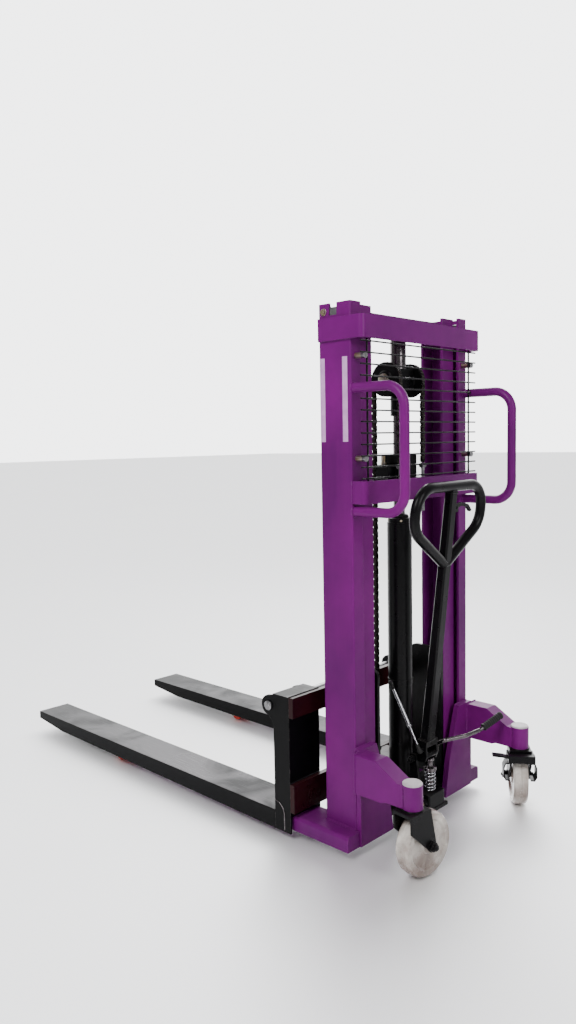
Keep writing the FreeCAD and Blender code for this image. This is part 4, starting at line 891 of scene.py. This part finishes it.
def hexagon(shape, base, axis, across, height):
    """A hexagonal head or nut with chamfered corners."""
    outer = across / math.sqrt(3)
    edge = 0.12 * height
    outline = [(0, outer * 0.94), (edge, outer), (height - edge, outer), (height, outer * 0.9)]
    shape.turned(base, axis, outline, sides=6, spin=NUT_TURN)


def washer(shape, base, axis, radius, thick):
    """A flat washer."""
    edge = 0.2 * thick
    outline = [(0, radius - edge), (edge, radius), (thick - edge, radius), (thick, radius - edge)]
    shape.turned(base, axis, outline, sides=32)


def thread(shape, base, axis, radius, length):
    """The threaded end of a bolt."""
    outline = [(0, radius)]
    turns = max(2, int(length / THREAD_PITCH))
    step = length / turns
    for turn in range(turns):
        start = turn * length / turns
        for share, height in ((0.15, 1), (0.5, 0.88), (0.85, 1)):
            outline.append((start + share * step, radius * height))
    outline.append((length, radius * 0.8))
    shape.turned(base, axis, outline, sides=20)


def caster_fasteners():
    """The nuts, washers and bolt ends of each caster's axle, and its swivel race."""
    for name, _ in SIDES:
        roll = joints[f"caster_{name}_roll"]
        swivel = joints[f"caster_{name}_swivel"]
        hub = Vector(roll["pos_m"])
        axis = Vector(roll["axis"]).normalized()
        trails = hub - Vector(swivel["pos_m"])
        if axis.cross(Z).dot(trails) > 0:
            axis = -axis
        shape = Shape()
        for out in (axis, -axis):
            base = hub + out * AXLE_REACH
            washer(shape, base, out, 14 * MM, 2.4 * MM)
            hexagon(shape, base + out * 2.4 * MM, out, 19 * MM, 7 * MM)
            thread(shape, base + out * 9 * MM, out, 5.6 * MM, 4 * MM)
        piece(f"axle_nuts_{name}", shape, f"caster_{name}", "black_paint")
        race = Shape()
        centre = Vector(swivel["pos_m"])
        outline = [(0, 28), (0.2, 32.5), (1.6, 33.5), (3.0, 32.5), (3.2, 28)]
        race.turned(Vector((centre.x, centre.y, RACE_HEIGHT)), Z, in_mm(outline), sides=48)
        piece(f"swivel_race_{name}", race, f"caster_{name}", "black_paint")


def frame_fasteners():
    """Nuts on the pivot, washers on the uprights, the legs' axle ends and the guard's stud caps."""
    nuts = Shape()
    (right_end, _), (left_end, _) = x_ends("pivot_bolt")
    hexagon(nuts, left_end, X, 18 * MM, 7 * MM)
    hexagon(nuts, right_end, -X, 18 * MM, 6 * MM)
    thread(nuts, left_end + X * 7 * MM, X, 5.5 * MM, 5 * MM)
    piece("pivot_nuts", nuts, "frame", "zinc", finish="black_paint")
    shape = Shape()
    axle = middle("load_axles")
    axle_end = [(0, 13), (0.6, 14), (2.6, 14), (3.2, 13)]
    for name, side in SIDES:
        low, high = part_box(f"outer_channel_{name}")
        face = high.x if side > 0 else low.x
        bolt_y = (low.y + high.y) / 2 - UPRIGHT_BOLT_SET
        washer(shape, Vector((face, bolt_y, UPRIGHT_BOLT_HEIGHT)), X * side, 11.5 * MM, 1.8 * MM)
        for end, out in x_ends(f"base_leg_{name}"):
            spot = Vector((end.x, axle.y, axle.z))
            shape.turned(spot, out, in_mm(axle_end), sides=28)
            hexagon(shape, spot + out * 3.2 * MM, out, 10 * MM, 2.4 * MM)
    piece("frame_fasteners", shape, "frame", "zinc")
    studs = Shape()
    middle_x = middle("top_beam").x
    stud_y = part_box("mesh_guard")[1].y - 5 * MM
    stud = [(-9, 9.2), (-8, 9.8), (3.0, 9.8), (4.2, 8.6), (4.6, 5)]
    for _, side in SIDES:
        for height in STUD_HEIGHTS:
            studs.turned(Vector((middle_x + side * STUD_REACH, stud_y, height)), Y, in_mm(stud), sides=28)
    piece("guard_stud_caps", studs, "frame", "roller_steel")


def pulley_fasteners():
    """Retaining rings on the pulley axle and the ends of the fork shaft."""
    shape = Shape()
    ring = [(0, 12), (0.8, 14.5), (2.6, 14.5), (3.4, 12)]
    for end, out in x_ends("pulley_axle"):
        shape.turned(end, out, in_mm(ring), sides=28)
    piece("pulley_rings", shape, "inner_mast", "zinc")
    caps = Shape()
    cap = [(-5, 15.5), (-0.2, 15.5), (0.6, 14.5), (1.0, 9), (3.5, 8), (4.0, 5)]
    for end, out in x_ends("fork_shaft"):
        caps.turned(end, out, in_mm(cap), sides=32)
    piece("fork_shaft_caps", caps, "carriage", "zinc", finish="roller_steel")


def cylinder_details():
    """The rod's black wiper, four screws round the gland and the pump's relief valve."""
    low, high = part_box("cylinder_gland")
    centre = (low + high) / 2
    wiper = Shape()
    outline = [(0, 28), (0.4, 30), (3.4, 29), (6.0, 22.5), (6.4, 19.3), (3.2, 19.2), (0, 19.2)]
    wiper.turned(Vector((centre.x, centre.y, high.z)), Z, in_mm(outline), sides=48)
    piece("rod_wiper", wiper, "frame", "grip_rubber")
    screws = Shape()
    screw = [(0, 4), (1.6, 4), (2.0, 3.4), (1.2, 1.6)]
    for step in range(4):
        angle = math.radians(45 + 90 * step)
        out = Vector((math.cos(angle), math.sin(angle), 0))
        spot = Vector((centre.x, centre.y, low.z + 7 * MM)) + out * 37.4 * MM
        screws.turned(spot, out, in_mm(screw), sides=20)
    piece("gland_screws", screws, "frame", "zinc")
    pump_low, pump_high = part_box("pump_body")
    valve = Shape()
    spot = Vector((pump_high.x, pump_high.y - 18 * MM, pump_low.z + 24 * MM))
    hexagon(valve, spot, X, 16 * MM, 8 * MM)
    valve.turned(spot + X * 8 * MM, X, in_mm([(0, 5), (6, 5), (7, 4)]), sides=20)
    piece("relief_valve", valve, "frame", "zinc")


def guard_welds():
    """The small welds where each wire of the guard crosses its posts."""
    shape = Shape()
    centre_x = middle("mesh_guard").x
    weld_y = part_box("mesh_guard")[1].y - WIRE_DEPTH
    weld = [(-4.2, 0.6), (-3, 2.6), (0, 3.4), (3, 2.6), (4.2, 0.6)]
    for _, side in SIDES:
        for row in range(WIRES):
            spot = Vector((centre_x + side * POST_REACH, weld_y, WIRE_START + row * WIRE_PITCH))
            shape.turned(spot, X, in_mm(weld), sides=10)
    piece("guard_welds", shape, "frame", "black_paint")


def strut_ends():
    """The black ball joints at both ends of the bright strut, and the collar between its halves."""
    top = Vector(joints["strut_swing"]["pos_m"])
    along = Vector(joints["strut_slide"]["axis"]).normalized()
    foot = top + along * STRUT_LENGTH
    ball = [(-9, 1), (-8, 5), (-5, 8), (0, 9.6), (5, 8), (8, 6.6), (11, 6.2), (22, 6.2), (24, 5)]
    top_ball = Shape()
    top_ball.turned(top, along, in_mm(ball), sides=28)
    piece("strut_ball_top", top_ball, "strut_tube", "grip_rubber")
    foot_ball = Shape()
    foot_ball.turned(foot, -along, in_mm(ball), sides=28)
    piece("strut_ball_foot", foot_ball, "strut_rod", "grip_rubber")
    collar = Shape()
    outline = [(0, 6.2), (1, 6.8), (6, 6.8), (8, 5)]
    collar.turned(top + along * STRUT_COLLAR, along, in_mm(outline), sides=28)
    piece("strut_collar", collar, "strut_tube", "chrome")


def decal_bars():
    """Two plain pale bars on the outer face of the left upright."""
    low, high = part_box("outer_channel_left")
    centre_y = (low.y + high.y) / 2
    shape = Shape()
    for start, end in BAR_EDGES:
        corners = [
            (high.x, centre_y + start, BAR_BOTTOM), (high.x, centre_y + end, BAR_BOTTOM),
            (high.x, centre_y + end, BAR_TOP), (high.x, centre_y + start, BAR_TOP),
        ]
        shape.plate(corners, X * BAR_THICK)
    piece("pale_bars", shape, "frame", "purple_paint", finish="decal")


# ---------------------------------------------------------------- making


add_camera()
add_studio()
finish_nodes()
lift_chains()
spring()
pedal_grip()
tiller_details()
frame_welds()
carriage_welds()
caster_fasteners()
frame_fasteners()
pulley_fasteners()
cylinder_details()
guard_welds()
strut_ends()
decal_bars()
